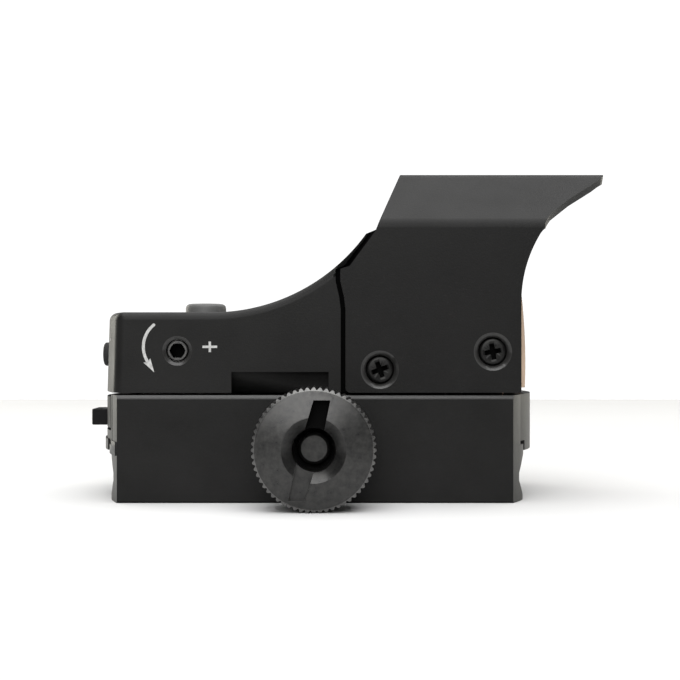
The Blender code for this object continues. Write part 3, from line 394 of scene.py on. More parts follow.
def make_jaw_plate():
    """The clamp's movable plate, whose hook is half of the groove."""
    hook = [(-y, z) for y, z in groove_side(1.0)]
    section = outer_side(-1) + hook + [(PLATE_SKIRT_INNER, -0.35), (PLATE_SKIRT_INNER, 0.9)]
    section += [(PLATE_INNER, 0.9), (PLATE_INNER, MOUNT_TOP)]
    jaw = slab("jaw_plate", section, -29, 29, "X")
    wide = MOUNT_HALF_WIDTH + 1
    plan = bulged_outline(PLATE_REAR, -wide, wide, PLATE_FRONT)
    cut(jaw, slab("jaw_plan", plan, MOUNT_BOTTOM - 1, MOUNT_TOP + 1, "Z"), "INTERSECT")
    for i, (far, top) in enumerate(((PLATE_SKIRT_INNER, 0.88), (PLATE_INNER, REAR_LIP_TOP - 0.02))):
        lip = bulged_outline(PLATE_REAR, -13.9, far - 0.02, -23.0, REAR_LIP_PROUD + i * 0.001)
        cut(jaw, slab(f"jaw_rear_lip_{i}", lip, i * 0.5 - GAP, top, "Z"), "UNION")
    cut(jaw, rod("jaw_stud_way", STUD_WAY, -20, 0, "Y", (0, STUD_HEIGHT)))
    for pin in GUIDE_PINS:
        cut(jaw, rod("jaw_pin_way", PIN_WAY, -13.15, -5, "Y", pin, 32))
    return settle(ease(jaw, 0.12))


def knurl(radius, depth, teeth):
    """A ring of small rounded teeth."""
    pitch = 360 / teeth
    outline = []
    for i in range(teeth):
        for j in range(8):
            across = j / 8
            fall = math.sin(math.pi * across) ** 3
            angle = math.radians((i + across) * pitch)
            r = radius - depth * fall
            outline.append((r * math.cos(angle), STUD_HEIGHT + r * math.sin(angle)))
    return outline


def make_knob():
    """The thumb knob: a coned face, a countersunk bore, a slot a little off its middle, and small teeth."""
    centre = (0, STUD_HEIGHT)
    teeth = knurl(KNOB_RADIUS, TOOTH_DEPTH, KNOB_TEETH)
    knob = slab("knurled_knob", teeth, KNOB_INNER - 1, KNOB_FACE + 1, "-Y")
    outside = KNOB_RADIUS + 0.3
    face = [(3.85, KNOB_FACE), (4.0, KNOB_FACE - 0.01), (6.94, KNOB_FACE - 0.55), (7.02, KNOB_FACE - 0.6)]
    rim = [(outside, KNOB_FACE - 1.02), (outside, KNOB_HEAD_INNER + 0.5), (6.9, KNOB_HEAD_INNER)]
    hub = [
        (KNOB_HUB + 0.3, KNOB_HEAD_INNER), (KNOB_HUB, KNOB_HEAD_INNER - 0.3),
        (KNOB_HUB, KNOB_INNER + 0.2), (KNOB_HUB - 0.2, KNOB_INNER),
    ]
    bore = [
        (KNOB_THREAD_WAY, KNOB_INNER), (KNOB_THREAD_WAY, KNOB_FACE - 5.8), (KNOB_BORE, KNOB_FACE - 5.4),
        (KNOB_BORE, KNOB_FACE - 1.12), (KNOB_BORE + 0.1, KNOB_FACE - 1.0),
    ]
    envelope = turned("knob_envelope", face + rim + hub + bore, "-Y", centre, 144, closed=True)
    ends = []
    for side, way in ((-1, 1), (1, 1), (1, 0), (1, -1), (-1, -1), (-1, 0)):
        distance = way * SLOT_REACH
        half = 1.27 - 0.045 * abs(distance)
        x = SLOT_SHIFT + math.tan(SLOT_TILT) * distance + side * half
        ends.append((x, STUD_HEIGHT + distance * 0.985))
    cut(envelope, slab("knob_slot", ends, KNOB_FACE - SLOT_DEPTH, KNOB_FACE + 0.7, "-Y"))
    cut(knob, envelope, "INTERSECT")
    return settle(knob, 25)


def make_stud():
    """The clamp's cross bolt: a chamfered end, a thread where it shows, and a slotted head."""
    thread = []
    for i in range(THREAD_TURNS):
        top = STUD_END - 0.5 - i * THREAD_PITCH
        thread += [(THREAD_RADIUS, top), (THREAD_RADIUS, top - 0.12)]
        thread += [(THREAD_ROOT, top - 0.25), (THREAD_ROOT, top - 0.31)]
    end = [(0, STUD_END), (1.56, STUD_END), (1.84, STUD_END - 0.2), (THREAD_RADIUS, STUD_END - 0.35)]
    shank = [
        (STUD_RADIUS, 15.0), (STUD_RADIUS, STUD_HEAD_INNER), (STUD_HEAD_RADIUS, STUD_HEAD_INNER),
        (STUD_HEAD_RADIUS, STUD_HEAD_FACE + 0.25), (STUD_HEAD_RADIUS - 0.08, STUD_HEAD_FACE + 0.1),
        (STUD_HEAD_RADIUS - 0.25, STUD_HEAD_FACE), (0, STUD_HEAD_FACE),
    ]
    stud = turned("cross_bolt", end + thread + shank, "-Y", (0, STUD_HEIGHT), 64)
    cut(stud, box("bolt_slot", (-0.45, 13.1, -9), (0.45, 20, 9)))
    return settle(stud, 32)


# ---------------------------------------------------------------- housing

def housing_side():
    """The housing seen from the side (x, z): a flat deck, a ramp, the cheeks and the lens frame."""
    ramp = arc((-12.98, DECK + RAMP_RADIUS), RAMP_RADIUS, -90, -35.9, 40)
    cheek = 28.2
    frame_side = [(FRAME_REAR, cheek), (FRAME_REAR, 36), (30, 36)]
    return [(30, 4), (-30, 4), (-30, DECK)] + ramp + [(7.87, cheek)] + frame_side


def hood_side(growth=0.0):
    """The hood seen from the side (x, z): its rear edge, its foot, and its front edge up to the shoulder."""
    rear = [(11.5, 37), (8.1, 29.3), (7.5, 27.8), (4.3, 23.45), (3.14, 23.1), (3.14, 21.6), (3.6, 19.6)]
    back = 3.79 - growth
    low = HOOD_BOTTOM - 2 * growth
    foot = rounded([(back, 18.0, 0), (back, low, 0.6), (HOOD_FRONT, low, 0.3), (HOOD_FRONT, 18.5, 0)])
    sweep = arc((HOOD_FRONT + HOOD_SWEEP, 19.0), HOOD_SWEEP, 180, 148.2, 28)
    return [(x - growth, z) for x, z in rear] + foot + sweep


def lens_blank(name, front, back, radius):
    """A round blank between two bowed faces, tilted on the lens axis."""

    def sag(r):
        """How far a bowed face falls back at a radius."""
        return LENS_CURVE - math.sqrt(LENS_CURVE**2 - r * r)

    rings = [radius * i / 16 for i in range(17)]
    profile = [(r, front - sag(r)) for r in rings] + [(r, back - sag(r)) for r in reversed(rings)]
    blank = turned(name, profile, "X", steps=128)
    x, z = LENS_CENTRE
    turn = Matrix.Translation(Vector((x, 0, z)) * MM) @ Matrix.Rotation(LENS_TILT, 4, "Y")
    blank.data.transform(turn)
    return blank


def make_casting():
    """The housing: a cast block with a bulged rear, stepped for the hood and hollowed for the works."""
    face = HOUSING_HALF_WIDTH
    body = slab("housing_casting", housing_side(), -face, face, "Y")
    plan = slab("casting_plan", bulged_outline(HOUSING_REAR, -face - 1, face + 1, 35, steps=14), 3, 40, "Z")
    for vertex in plan.data.vertices:
        if vertex.co.x < 0:
            vertex.co.x += (vertex.co.z - HOUSING_BOTTOM * MM) * REAR_DRAFT / (DECK - HOUSING_BOTTOM)
    cut(body, plan, "INTERSECT")
    ease(body, HOUSING_EDGE, 8, 60, harden=False)
    cut(body, box("underside", (-40, -20, 0), (40, 20, HOUSING_BOTTOM)))
    inner = HOOD_HALF_WIDTH - HOOD_THICKNESS - GAP
    outline = [(x if x < 25 else x + 20, z) for x, z in hood_side(HOOD_ROOM) + HOOD_LIP]
    step = slab("hood_step", outline, -20, 20, "Y")
    cut(body, cut(step, box("step_middle", (-20, -inner, 0), (70, inner, 60))))
    around = slab("under_hood", arch(HOOD_THICKNESS + GAP, 0), 0, 50, "X")
    cut(body, cut(box("outside_arch", (9.5, -25, 24), (45, 25, 60)), around))
    cut(body, slab("cavity", bulged_outline(CAVITY_REAR, -12, 12, -11.3), 6, 16.1, "Z"))
    cut(body, box("channel", (-9.9, -10.8, 10.4), (FRAME_REAR, 10.8, 40)))
    half = WINDOW_HALF_WIDTH
    sill = [(-half, 10.9, 1.2), (half, 10.9, 1.2)]
    head = [(half, 28.8, 1.2), (7.0, 32.4, 1.2), (-7.0, 32.4, 1.2), (-half, 28.8, 1.2)]
    cut(body, slab("lens_window", rounded(sill + head), FRAME_REAR - 1, 30, "X"))
    cut(body, lens_blank("lens_bed", 14.0, -2.9, 24.0))
    for side in (-1, 1):
        low, high = sorted((side * (face - 1), side * 20))
        cut(body, box("side_recess", (-10.5, low, 5), (1.67, high, 10.2)))
    ways = (("windage", face, 2.4, "-Y", WINDAGE), ("elevation", DECK, 2.0, "Z", (ELEVATION_X, 0)))
    for name, level, depth, axis, centre in ways:
        cut(body, rod(f"{name}_way", ADJUSTER_WAY, level - depth, level + 1, axis, centre))
        low = level - LIP_DEPTH
        cut(body, rod(f"{name}_lip", 1.3, low, level + LIP_RISE, axis, centre, end_radius=ADJUSTER_LIP))
    cut(body, rod("power_well", 3.03, DECK - 0.9, DECK + 2, "Z", (POWER_X, 0)))
    cut(body, rod("mode_way", 1.7, -30, -24, "X", (0, MODE_HEIGHT)))
    cut(body, box("emitter_way", (-12, -2.6, 10.9), (-9, 2.6, 14.6)))
    return settle(ease(body, 0.1, 2, 40))


def shoulder_cutter(side):
    """What lies ahead of a shoulder's front edge, which is cut square through the slanted sheet."""
    outline = HOOD_LIP + [(50, HOOD_LIP[-1][1]), (50, HOOD_LIP[0][1])]
    slant = HOOD_HALF_WIDTH + HOOD_BEND
    shape = bmesh.new()
    rings = []
    for out in (-2.1, 0.7):
        corners = [Vector((x, side * (slant - z + out), z + out)) for x, z in outline]
        rings.append([shape.verts.new(corner * MM) for corner in corners])
    for ring in rings:
        shape.faces.new(ring)
    for i in range(len(outline)):
        shape.faces.new((rings[0][i - 1], rings[0][i], rings[1][i], rings[1][i - 1]))
    return to_object("shoulder_front", shape)


def make_hood():
    """The bent sheet over the lens, with its countersunk screw holes."""
    hood = slab("hood_shell", arch(0.0, 0.0, HOOD_EDGE), 0, HOOD_NOSE, "X")
    outline = hood_side() + [(28.44, 27.88), (28.72, 28.16), (60, 28.16), (60, 37)]
    cut(hood, slab("hood_outline", outline, -20, 20, "Y"), "INTERSECT")
    cut(hood, slab("hood_inside", arch(HOOD_THICKNESS, -5.0, 0.8), -5, 50, "X"))
    for side in (-1, 1):
        cut(hood, shoulder_cutter(side))
    face = HOOD_HALF_WIDTH
    for x, z, _ in HOOD_SCREWS:
        for axis in ("Y", "-Y"):
            cut(hood, rod("bore", 1.8, face - 0.75, 20, axis, (x, z)))
            cut(hood, rod("lip", 1.78, face - 0.36, face + 0.36, axis, (x, z), end_radius=3.0))
            cut(hood, rod("hole", 1.1, 5, 20, axis, (x, z), 32))
    return settle(ease(hood, 0.14, 3, 35))


def make_hood_screw(name, x, z, turn, axis):
    """A pan screw sunk in the hood, with a tapered cross recess."""
    face = HOOD_HALF_WIDTH - 0.1
    crown = [(0, face), (1.3, face - 0.015), (1.48, face - 0.06), (1.58, face - 0.15), (1.62, face - 0.28)]
    shank = [(1.62, face - 0.5), (0.95, face - 0.5), (0.95, face - 2.6), (0, face - 2.6)]
    screw = turned(name, crown + shank, axis, (x, z), 64)
    for i in range(2):
        angle = math.radians(turn + 90 * i)
        along = Vector((math.cos(angle), math.sin(angle)))
        across = Vector((-along.y, along.x))
        cutter = bmesh.new()
        rings = []
        for depth, length, width in ((0.3, 1.06, 0.32), (-0.05, 1.0, 0.3), (-0.9, 0.75, 0.24)):
            ring = []
            for a, b in ((1, -1), (1, 1), (-1, 1), (-1, -1)):
                p = along * (length * a) + across * (width * b)
                ring.append(cutter.verts.new(place(axis, x + p.x, z + p.y, face + depth)))
            rings.append(ring)
        for a, b in zip(rings, rings[1:]):
            for j in range(4):
                cutter.faces.new((a[j - 1], a[j], b[j], b[j - 1]))
        cutter.faces.new(rings[0])
        cutter.faces.new(rings[-1])
        cut(screw, to_object("cross", cutter))
    cut(screw, rod("cross_middle", 0.0001, face - 0.8, face + 0.1, axis, (x, z), 32, end_radius=0.56))
    return settle(ease(screw, 0.035, 2, 50), 32)


def make_adjuster(name, axis, centre, face, shoulder, end):
    """A set screw with a deep hexagon socket."""
    head = [(0, face), (1.16, face), (1.25, face - 0.06), (1.3, face - 0.16), (1.3, shoulder)]
    screw = turned(name, head + [(0.7, shoulder), (0.7, end), (0, end)], axis, centre, 64)
    corner = SOCKET_HALF / math.cos(math.radians(30))
    cut(screw, slab("socket", arc(centre, corner, 0, 300, 5), shoulder + 0.1, face + 1, axis))
    cut(screw, rod("socket_mouth", 0.86, face - 0.1, face + 0.1, axis, centre, end_radius=1.06))
    return settle(screw, 32)


def make_lens(name, front, back):
    """One of the lens's two bowed elements, between two distances along its axis."""
    lens = lens_blank(name, front, back, 18.5)
    cut(lens, slab("lens_outline", arch(2.1, 8.2, 1.2), 0, 40, "X"), "INTERSECT")
    return settle(ease(lens, 0.06, 2, 50), 30)


def make_gasket():
    """The seal between the lens and its bed."""
    gasket = lens_blank("lens_gasket", -0.9, -2.6, 22.0)
    cut(gasket, slab("gasket_outside", arch(1.55, 7.7, 1.6), 0, 40, "X"), "INTERSECT")
    cut(gasket, slab("gasket_inside", arch(1.98, 8.08, 1.2), 0, 40, "X"))
    return settle(gasket, 30)


# ---------------------------------------------------------------- buttons and tray

def make_power_button():
    """The soft cap on the deck, (radius, z)."""
    cap = [(0, 19.1), (1.2, 19.095), (1.9, 19.07), (2.25, 19.02), (2.5, 18.9), (2.64, 18.72), (2.7, 18.5)]
    stem = [(2.73, 17.4), (1.0, 17.4), (1.0, 15.85), (0, 15.85)]
    return settle(turned("power_cap", cap + stem, "Z", (POWER_X, 0), 96), 40)


def make_mode_button():
    """The button in the rear face, (radius, x), with a flange inside the wall."""
    flange = [(0, -25.75), (0.8, -25.75), (0.8, -25.85), (2.1, -25.85), (2.1, -26.25), (1.58, -26.25)]
    cap = [(1.58, -28.3), (1.53, -28.46), (1.4, -28.58), (1.2, -28.64), (0, -28.65)]
    return settle(turned("mode_cap", flange + cap, "X", (0, MODE_HEIGHT), 64), 40)


def make_tray():
    """The battery drawer, with its coin cell pocket and a ribbed pull tab."""
    plan = bulged_outline(BODY_REAR, -TRAY_HALF_WIDTH, TRAY_HALF_WIDTH, -8.8)
    tray = slab("battery_drawer", plan, 2.9, 6.9, "Z")
    tab = box("drawer_tab", (-29.9, -TAB_HALF_WIDTH, 2.92), (-26.5, TAB_HALF_WIDTH, 5.05))
    cut(tray, ease(tab, 0.15, 3, harden=False), "UNION")
    cut(tray, rod("cell_pocket", CELL_POCKET, 3.55, 9, "Z", CELL, 96))
    cut(tray, box("contact_way", (-16, 5.0, 4.6), (-7.8, 10, 9)))
    for y in spread(-1.6, 1.6, 4):
        cut(tray, box("grip", (-29.5, y - 0.2, 4.75), (-28.6, y + 0.2, 6)))
    return settle(ease(tray, 0.08, 2))


# ---------------------------------------------------------------- printed marks

def ribbon(points, width):
    """The outline of a line of a width that follows some points, with a round start."""
    left = []
    right = []
    for i, point in enumerate(points):
        ahead = Vector(points[min(i + 1, len(points) - 1)]) - Vector(points[max(i - 1, 0)])
        side = Vector((-ahead.y, ahead.x)).normalized() * (width / 2)
        left.append(tuple(Vector(point) + side))
        right.append(tuple(Vector(point) - side))
    first = Vector(points[0])
    start = Vector(right[0]) - first
    cap = [tuple(first + Matrix.Rotation(-math.pi * i / 8, 2) @ start) for i in range(1, 8)]
    return left + right[::-1] + cap


def print_mark(name, outline):
    """A thin layer of ink on the housing's near side."""
    return settle(slab(name, outline, HOUSING_HALF_WIDTH + INK_BACK, HOUSING_HALF_WIDTH + INK_FACE, "-Y"))


def make_arrow():
    """The curved arrow that shows which way the windage screw turns."""
    line = arc(ARROW_CENTRE, ARROW_RADIUS, 129, 213, 24)
    return print_mark("turn_arrow", ribbon(line, 0.37))


def make_arrow_head():
    """The arrow's barbed head."""
    angle = math.radians(211)
    base = Vector(ARROW_CENTRE) + Vector((math.cos(angle), math.sin(angle))) * ARROW_RADIUS
    tip = Vector(ARROW_TIP)
    ahead = (tip - base).normalized()
    side = Vector((-ahead.y, ahead.x)) * 0.5
    barb = ahead * 0.12
    outline = (tip, base + side - barb, base + barb, base - side - barb)
    return print_mark("turn_arrow_head", [tuple(point) for point in outline])


def make_plus():
    """A plain plus sign beside the windage screw."""
    x, z = PLUS_CENTRE
    a, b, w = 0.92, 0.66, 0.15
    lower = [(-a, -w), (-w, -w), (-w, -b), (w, -b), (w, -w), (a, -w)]
    upper = [(-u, -v) for u, v in lower]
    return print_mark("plus_mark", [(x + u, z + v) for u, v in lower + upper])


def make_index_dot():
    """A white dot on the rear face, near its right-hand edge."""
    dot = turned("index_dot", [(0, 0.02), (0.22, 0.02), (0.24, 0.0), (0, -0.03)], "Z", steps=32)
    y, z = INDEX_DOT
    slope = REAR_DRAFT / (DECK - HOUSING_BOTTOM)
    x = (z - HOUSING_BOTTOM) * slope - reach(HOUSING_REAR, y)
    swing = Matrix.Rotation(math.asin(-y / HOUSING_REAR[1]), 4, "Z")
    turn = swing @ Matrix.Rotation(math.atan(slope) - RIGHT_TURN, 4, "Y")
    dot.data.transform(Matrix.Translation(Vector((x - 0.012, y, z)) * MM) @ turn)
    return settle(dot)


# ---------------------------------------------------------------- materials

class Finish:
    """A procedural material under way: its nodes, and the object coordinates that they share."""

    def __init__(self, name, roughness, metallic=0.0, specular=0.5):
        self.material = bpy.data.materials.new(name)
        self.material.use_nodes = True
        self.tree = self.material.node_tree
        self.shader = self.tree.nodes["Principled BSDF"]
        self.shader.inputs["Roughness"].default_value = roughness
        self.shader.inputs["Metallic"].default_value = metallic
        self.shader.inputs["Specular IOR Level"].default_value = specular
        self.where = self.tree.nodes.new("ShaderNodeTexCoord").outputs["Object"]

    def add(self, kind, **inputs):
        """A new node, with values or links for its inputs."""
        node = self.tree.nodes.new("ShaderNode" + kind)
        for key, value in inputs.items():
            socket = node.inputs[key.replace("_", " ")]
            if isinstance(value, bpy.types.NodeSocket):
                self.tree.links.new(value, socket)
            else:
                socket.default_value = value
        return node

    def link(self, socket, name):
        self.tree.links.new(socket, self.shader.inputs[name])

    def stretched(self, scale):
        """The object coordinates, scaled by axis."""
        mapping = self.add("Mapping", Vector=self.where)
        mapping.inputs["Scale"].default_value = scale
        return mapping.outputs["Vector"]

    def noise(self, scale, detail=3.0, roughness=0.55, vector=None):
        where = vector or self.where
        node = self.add("TexNoise", Vector=where, Scale=scale, Detail=detail, Roughness=roughness)
        return node.outputs["Fac"]

    def remap(self, value, low, high, to_low, to_high):
        node = self.tree.nodes.new("ShaderNodeMapRange")
        self.tree.links.new(value, node.inputs["Value"])
        for name, number in (("From Min", low), ("From Max", high), ("To Min", to_low), ("To Max", to_high)):
            node.inputs[name].default_value = number
        return node.outputs["Result"]

    def mix(self, factor, first, second):
        """A colour between two."""
        node = self.tree.nodes.new("ShaderNodeMix")
        node.data_type = "RGBA"
        self.tree.links.new(factor, node.inputs["Factor"])
        for socket, colour in zip((s for s in node.inputs if s.type == "RGBA"), (first, second)):
            if isinstance(colour, bpy.types.NodeSocket):
                self.tree.links.new(colour, socket)
            else:
                socket.default_value = (*colour, 1)
        return next(s for s in node.outputs if s.type == "RGBA")

    def times(self, first, second):
        node = self.tree.nodes.new("ShaderNodeMath")
        node.operation = "MULTIPLY"
        for socket, value in zip(node.inputs, (first, second)):
            if isinstance(value, bpy.types.NodeSocket):
                self.tree.links.new(value, socket)
            else:
                socket.default_value = value
        return node.outputs[0]

    def colour(self, factor, first, second):
        self.link(self.mix(factor, first, second), "Base Color")

    def bump(self, height, strength, distance):
        node = self.add("Bump", Height=height, Strength=strength, Distance=distance)
        self.link(node.outputs["Normal"], "Normal")


def grey(level, tint=(1.0, 1.0, 1.0)):
    return tuple(level * t for t in tint)


WARM = (1.0, 0.985, 0.955)


def coat(name, level, roughness, grain, speckle, specular=0.165, tint=WARM):
    """A thin matt coat on blasted aluminium: a fine grain, and pale specks where it is thin."""
    finish = Finish(name, roughness, metallic=0.0, specular=specular)
    fine = finish.noise(5200, 2.0, 0.6)
    broad = finish.noise(160, 4.0, 0.6)
    base = finish.mix(finish.remap(broad, 0.3, 0.7, 0, 1), grey(level * 0.86, tint), grey(level * 1.16, tint))
    streak = finish.noise(1.0, 3.0, 0.7, finish.stretched((900, 5200, 6400)))
    speck = finish.remap(finish.times(fine, streak), 0.33, 0.42, 0.0, speckle)
    finish.colour(speck, base, grey(level * 6.0, tint))
    finish.link(finish.remap(broad, 0.25, 0.75, roughness - 0.05, roughness + 0.07), "Roughness")
    finish.bump(fine, grain, 4e-5)
    return finish.material


def bare_metal(name, colour, roughness):
    """Uncoated metal with fine turning lines."""
    finish = Finish(name, roughness, metallic=1.0)
    broad = finish.noise(260, 4.0)
    lines = finish.noise(1.0, 2.0, 0.5, finish.stretched((5200, 5200, 320)))
    finish.colour(finish.remap(broad, 0.3, 0.7, 0, 1), tuple(c * 0.8 for c in colour), colour)
    finish.link(finish.remap(broad, 0.2, 0.8, roughness - 0.05, roughness + 0.1), "Roughness")
    finish.bump(lines, 0.15, 1e-5)
    return finish.material


def oxide_steel(name, level=0.05, roughness=0.36):
    """Blackened steel: satin, with paler worn patches."""
    finish = Finish(name, roughness, metallic=0.85)
    broad = finish.noise(1500, 4.0, 0.6)
    fine = finish.noise(7000, 2.0)
    finish.colour(finish.remap(broad, 0.3, 0.7, 0, 1), grey(level * 0.8), grey(level * 1.3, WARM))
    finish.link(finish.remap(broad, 0.3, 0.7, roughness - 0.03, roughness + 0.05), "Roughness")
    finish.bump(fine, 0.25, 1.5e-5)
    return finish.material


def moulded(name, colour, roughness, grain=0.3, specular=0.2):
    """A dull, slightly uneven surface, such as moulded plastic or rubber."""
    finish = Finish(name, roughness, specular=specular)
    broad = finish.noise(300, 3.0)
    fine = finish.noise(6500, 2.0)
    finish.colour(broad, tuple(c * 0.75 for c in colour), tuple(c * 1.3 for c in colour))
    finish.link(finish.remap(broad, 0.3, 0.7, roughness - 0.06, roughness + 0.06), "Roughness")
    finish.bump(fine, grain, 2.5e-5)
    return finish.material


def board_green():
    finish = Finish("circuit_board_green", 0.35)
    tracks = finish.noise(900, 1.0, 0.4)
    finish.colour(finish.remap(tracks, 0.48, 0.52, 0, 1), (0.012, 0.07, 0.03), (0.03, 0.15, 0.06))
    finish.bump(tracks, 0.2, 2e-5)
    return finish.material


def coated_glass():
    """Clear glass with a coating, which looks warmer where it is seen at a slant."""
    finish = Finish("coated_glass", 0.02, specular=0.5)
    facing = finish.add("LayerWeight", Blend=0.35).outputs["Facing"]
    haze = finish.noise(220, 3.0)
    finish.colour(facing, (1.0, 0.91, 0.84), (1.0, 0.68, 0.5))
    finish.shader.inputs["Transmission Weight"].default_value = 0.92
    finish.shader.inputs["IOR"].default_value = 1.5
    finish.link(finish.remap(haze, 0.3, 0.7, 0.015, 0.04), "Roughness")
    finish.shader.inputs["Specular Tint"].default_value = (1.0, 0.7, 0.58, 1)
    return finish.material


def emitter_glass():
    finish = Finish("red_emitter", 0.15)
    facing = finish.add("LayerWeight", Blend=0.4).outputs["Facing"]
    finish.colour(facing, (0.45, 0.012, 0.01), (0.8, 0.05, 0.04))
    finish.bump(finish.noise(3000, 2.0), 0.05, 1e-5)
    return finish.material


def white_ink():
    finish = Finish("white_ink", 0.6)
    thin = finish.noise(2600, 3.0, 0.6)
    finish.colour(finish.remap(thin, 0.35, 0.6, 0, 1), (0.36, 0.36, 0.35), (0.5, 0.5, 0.49))
    finish.bump(thin, 0.2, 1e-5)
    return finish.material


def pale_floor():
    finish = Finish("pale_floor", 0.85, specular=0.1)
    broad = finish.noise(12, 3.0)
    finish.colour(broad, (0.6, 0.6, 0.6), (0.63, 0.63, 0.63))
    return finish.material


PAINT = coat("black_paint", 0.008, 0.44, 0.35, 0.05)
HOOD_PAINT = coat("black_paint_hood", 0.006, 0.42, 0.4, 0.12)
ANODISED = coat("black_anodised", 0.007, 0.4, 0.3, 0.06)
# Paler, glossier coat for edges: partly worn paint, partly a painted highlight where edges catch the light.
WEAR_AND_HIGHLIGHT = coat("worn_edge_and_highlight", 0.018, 0.34, 0.3, 0.15, specular=0.5)
# Near-black painted shade, put in slots, sockets, screw recesses and the gap under the hood.
PAINTED_SHADE = moulded("shaded_hollow", (0.002, 0.002, 0.002), 0.7, specular=0.03)
KNOB_METAL = oxide_steel("black_anodised_knob", 0.046, 0.3)
# Paler steel for the knob's teeth: partly rubbed wear, partly a painted glint along their edges.
KNURL_WEAR_AND_GLINT = oxide_steel("knurl_wear_and_glint", 0.12, 0.4)
OXIDE = oxide_steel("black_oxide_steel", 0.08)
SCREW_BLACK = oxide_steel("black_screw", 0.018, 0.4)
STUD_BLACK = oxide_steel("black_stud", 0.04)
STEEL = bare_metal("steel", (0.55, 0.55, 0.54), 0.28)
BRASS = bare_metal("brass", (0.78, 0.57, 0.28), 0.3)
PLASTIC = moulded("black_plastic", (0.004, 0.004, 0.004), 0.5, specular=0.12)
RUBBER = moulded("black_rubber", (0.018, 0.018, 0.018), 0.6, 0.5)
GREY_RUBBER = moulded("grey_rubber", (0.11, 0.11, 0.108), 0.5, 0.3)
GREEN = board_green()
GLASS = coated_glass()
GROUND_GLASS = moulded("ground_glass_edge", (0.56, 0.42, 0.31), 0.5, 0.3)
RED = emitter_glass()
INK = white_ink()

# ---------------------------------------------------------------- the pieces

FINISHES = {
    "black_plastic": PLASTIC, "black_oxide_steel": OXIDE, "steel": STEEL, "brass": BRASS,
    "circuit_board_green": GREEN, "red_emitter": RED, "coated_glass": GLASS,
}
CAD_NODES = {
    "black_plastic": ("bottom_cover",),
    "black_oxide_steel": ("base_screw_1", "base_screw_2", "base_screw_3", "reticle_mask"),
    "steel": (
        "jaw_pin_front", "jaw_pin_rear", "jaw_spring_front", "jaw_spring_rear", "knob_washer", "coin_cell",
        "power_switch", "mode_switch", "windage_spring", "emitter_spring", "windage_clip", "elevation_clip",
    ),
    "brass": ("contact_negative", "contact_positive", "windage_carriage", "emitter_carriage"),
    "circuit_board_green": ("circuit_board",),
    "red_emitter": ("dot_emitter",),
    "coated_glass": ("emitter_window",),
}


def dress_cad_nodes():
    """The inner pieces are the CAD's own, and take their looks from here."""
    for obj in NODES.values():
        obj.data.materials.clear()
        obj.data.materials.append(ANODISED)
    for slot, names in CAD_NODES.items():
        for name in names:
            obj = NODES[name]
            obj.data.materials[0] = FINISHES[slot]
            obj.data.shade_smooth()
            obj.data.set_sharp_from_angle(angle=math.radians(35))


def off_centre(at, centre):
    """How far a point is, seen from the side, from a centre."""
    return math.hypot(at.x - centre[0], at.z - centre[1])


def on_lip(at, normal, centre, low, high, depth):
    """Whether a face slants round a hole in a side wall, between two radii and outside some depth."""
    return low < off_centre(at, centre) < high and abs(at.y) > depth and abs(normal.y) < 0.97


def on_mount_edge(at, normal):
    return 0.2 < normal.z < 0.9 and abs(at.y) > MOUNT_HALF_WIDTH - 0.3 and at.z > MOUNT_TOP - 0.58


def in_upper_slot(at, normal):
    return abs(at.y + KNOB_FACE - SLOT_DEPTH) < 0.05 and at.z > STUD_HEIGHT


def on_teeth(at, normal):
    return off_centre(at, (0, STUD_HEIGHT)) > TEETH_FROM and at.y < -KNOB_FACE + 1.2


def under_hood(at, normal):
    return at.x > 2.6 and HOOD_BOTTOM - 0.8 < at.z < 34 and 12 < abs(at.y) < 14.0


def on_windage_lip(at, normal):
    return on_lip(at, normal, WINDAGE, ADJUSTER_WAY, 1.95, HOUSING_HALF_WIDTH - 0.4)


def on_hood_edge(at, normal):
    """The slanted shoulders' front edges, and the lips of the screw holes."""
    facing = (abs(normal.y) + normal.z) * math.sqrt(0.5)
    edge = normal.x > 0.15 and at.z > HOOD_BEND and 0.2 < facing < 0.96
    return edge or any(on_lip(at, normal, (x, z), 1.8, 2.5, 13.9) for x, z, _ in HOOD_SCREWS)


def in_windage_socket(at, normal):
    return off_centre(at, WINDAGE) < 1.03 and -13.51 < at.y < -11.95


def in_elevation_socket(at, normal):
    return math.hypot(at.x - ELEVATION_X, at.y) < 1.03 and 16.1 < at.z < 17.41


def on_lens_rim(at, normal):
    return abs(normal.y) > 0.6


def build_mount():
    block = wear(make_mount_block(), ANODISED, "mount", "black_anodised", "mount_body")
    jaw = wear(make_jaw_plate(), ANODISED, "jaw", "black_anodised", "clamp_plate")
    # The mount's top chamfers take a painted highlight band.
    for piece in (block, jaw):
        patch(piece, WEAR_AND_HIGHLIGHT, on_mount_edge)
    knob = wear(make_knob(), KNOB_METAL, "knob", "black_anodised", "thumb_knob")
    # Painted shade on the floor of the slot's upper half.
    patch(knob, PAINTED_SHADE, in_upper_slot)
    # Painted glint and wear on the teeth.
    patch(knob, KNURL_WEAR_AND_GLINT, on_teeth)
    wear(make_stud(), STUD_BLACK, "mount", "black_oxide_steel", "clamp_stud")
    wear(make_tray(), PLASTIC, "tray", "black_plastic", "battery_tray")


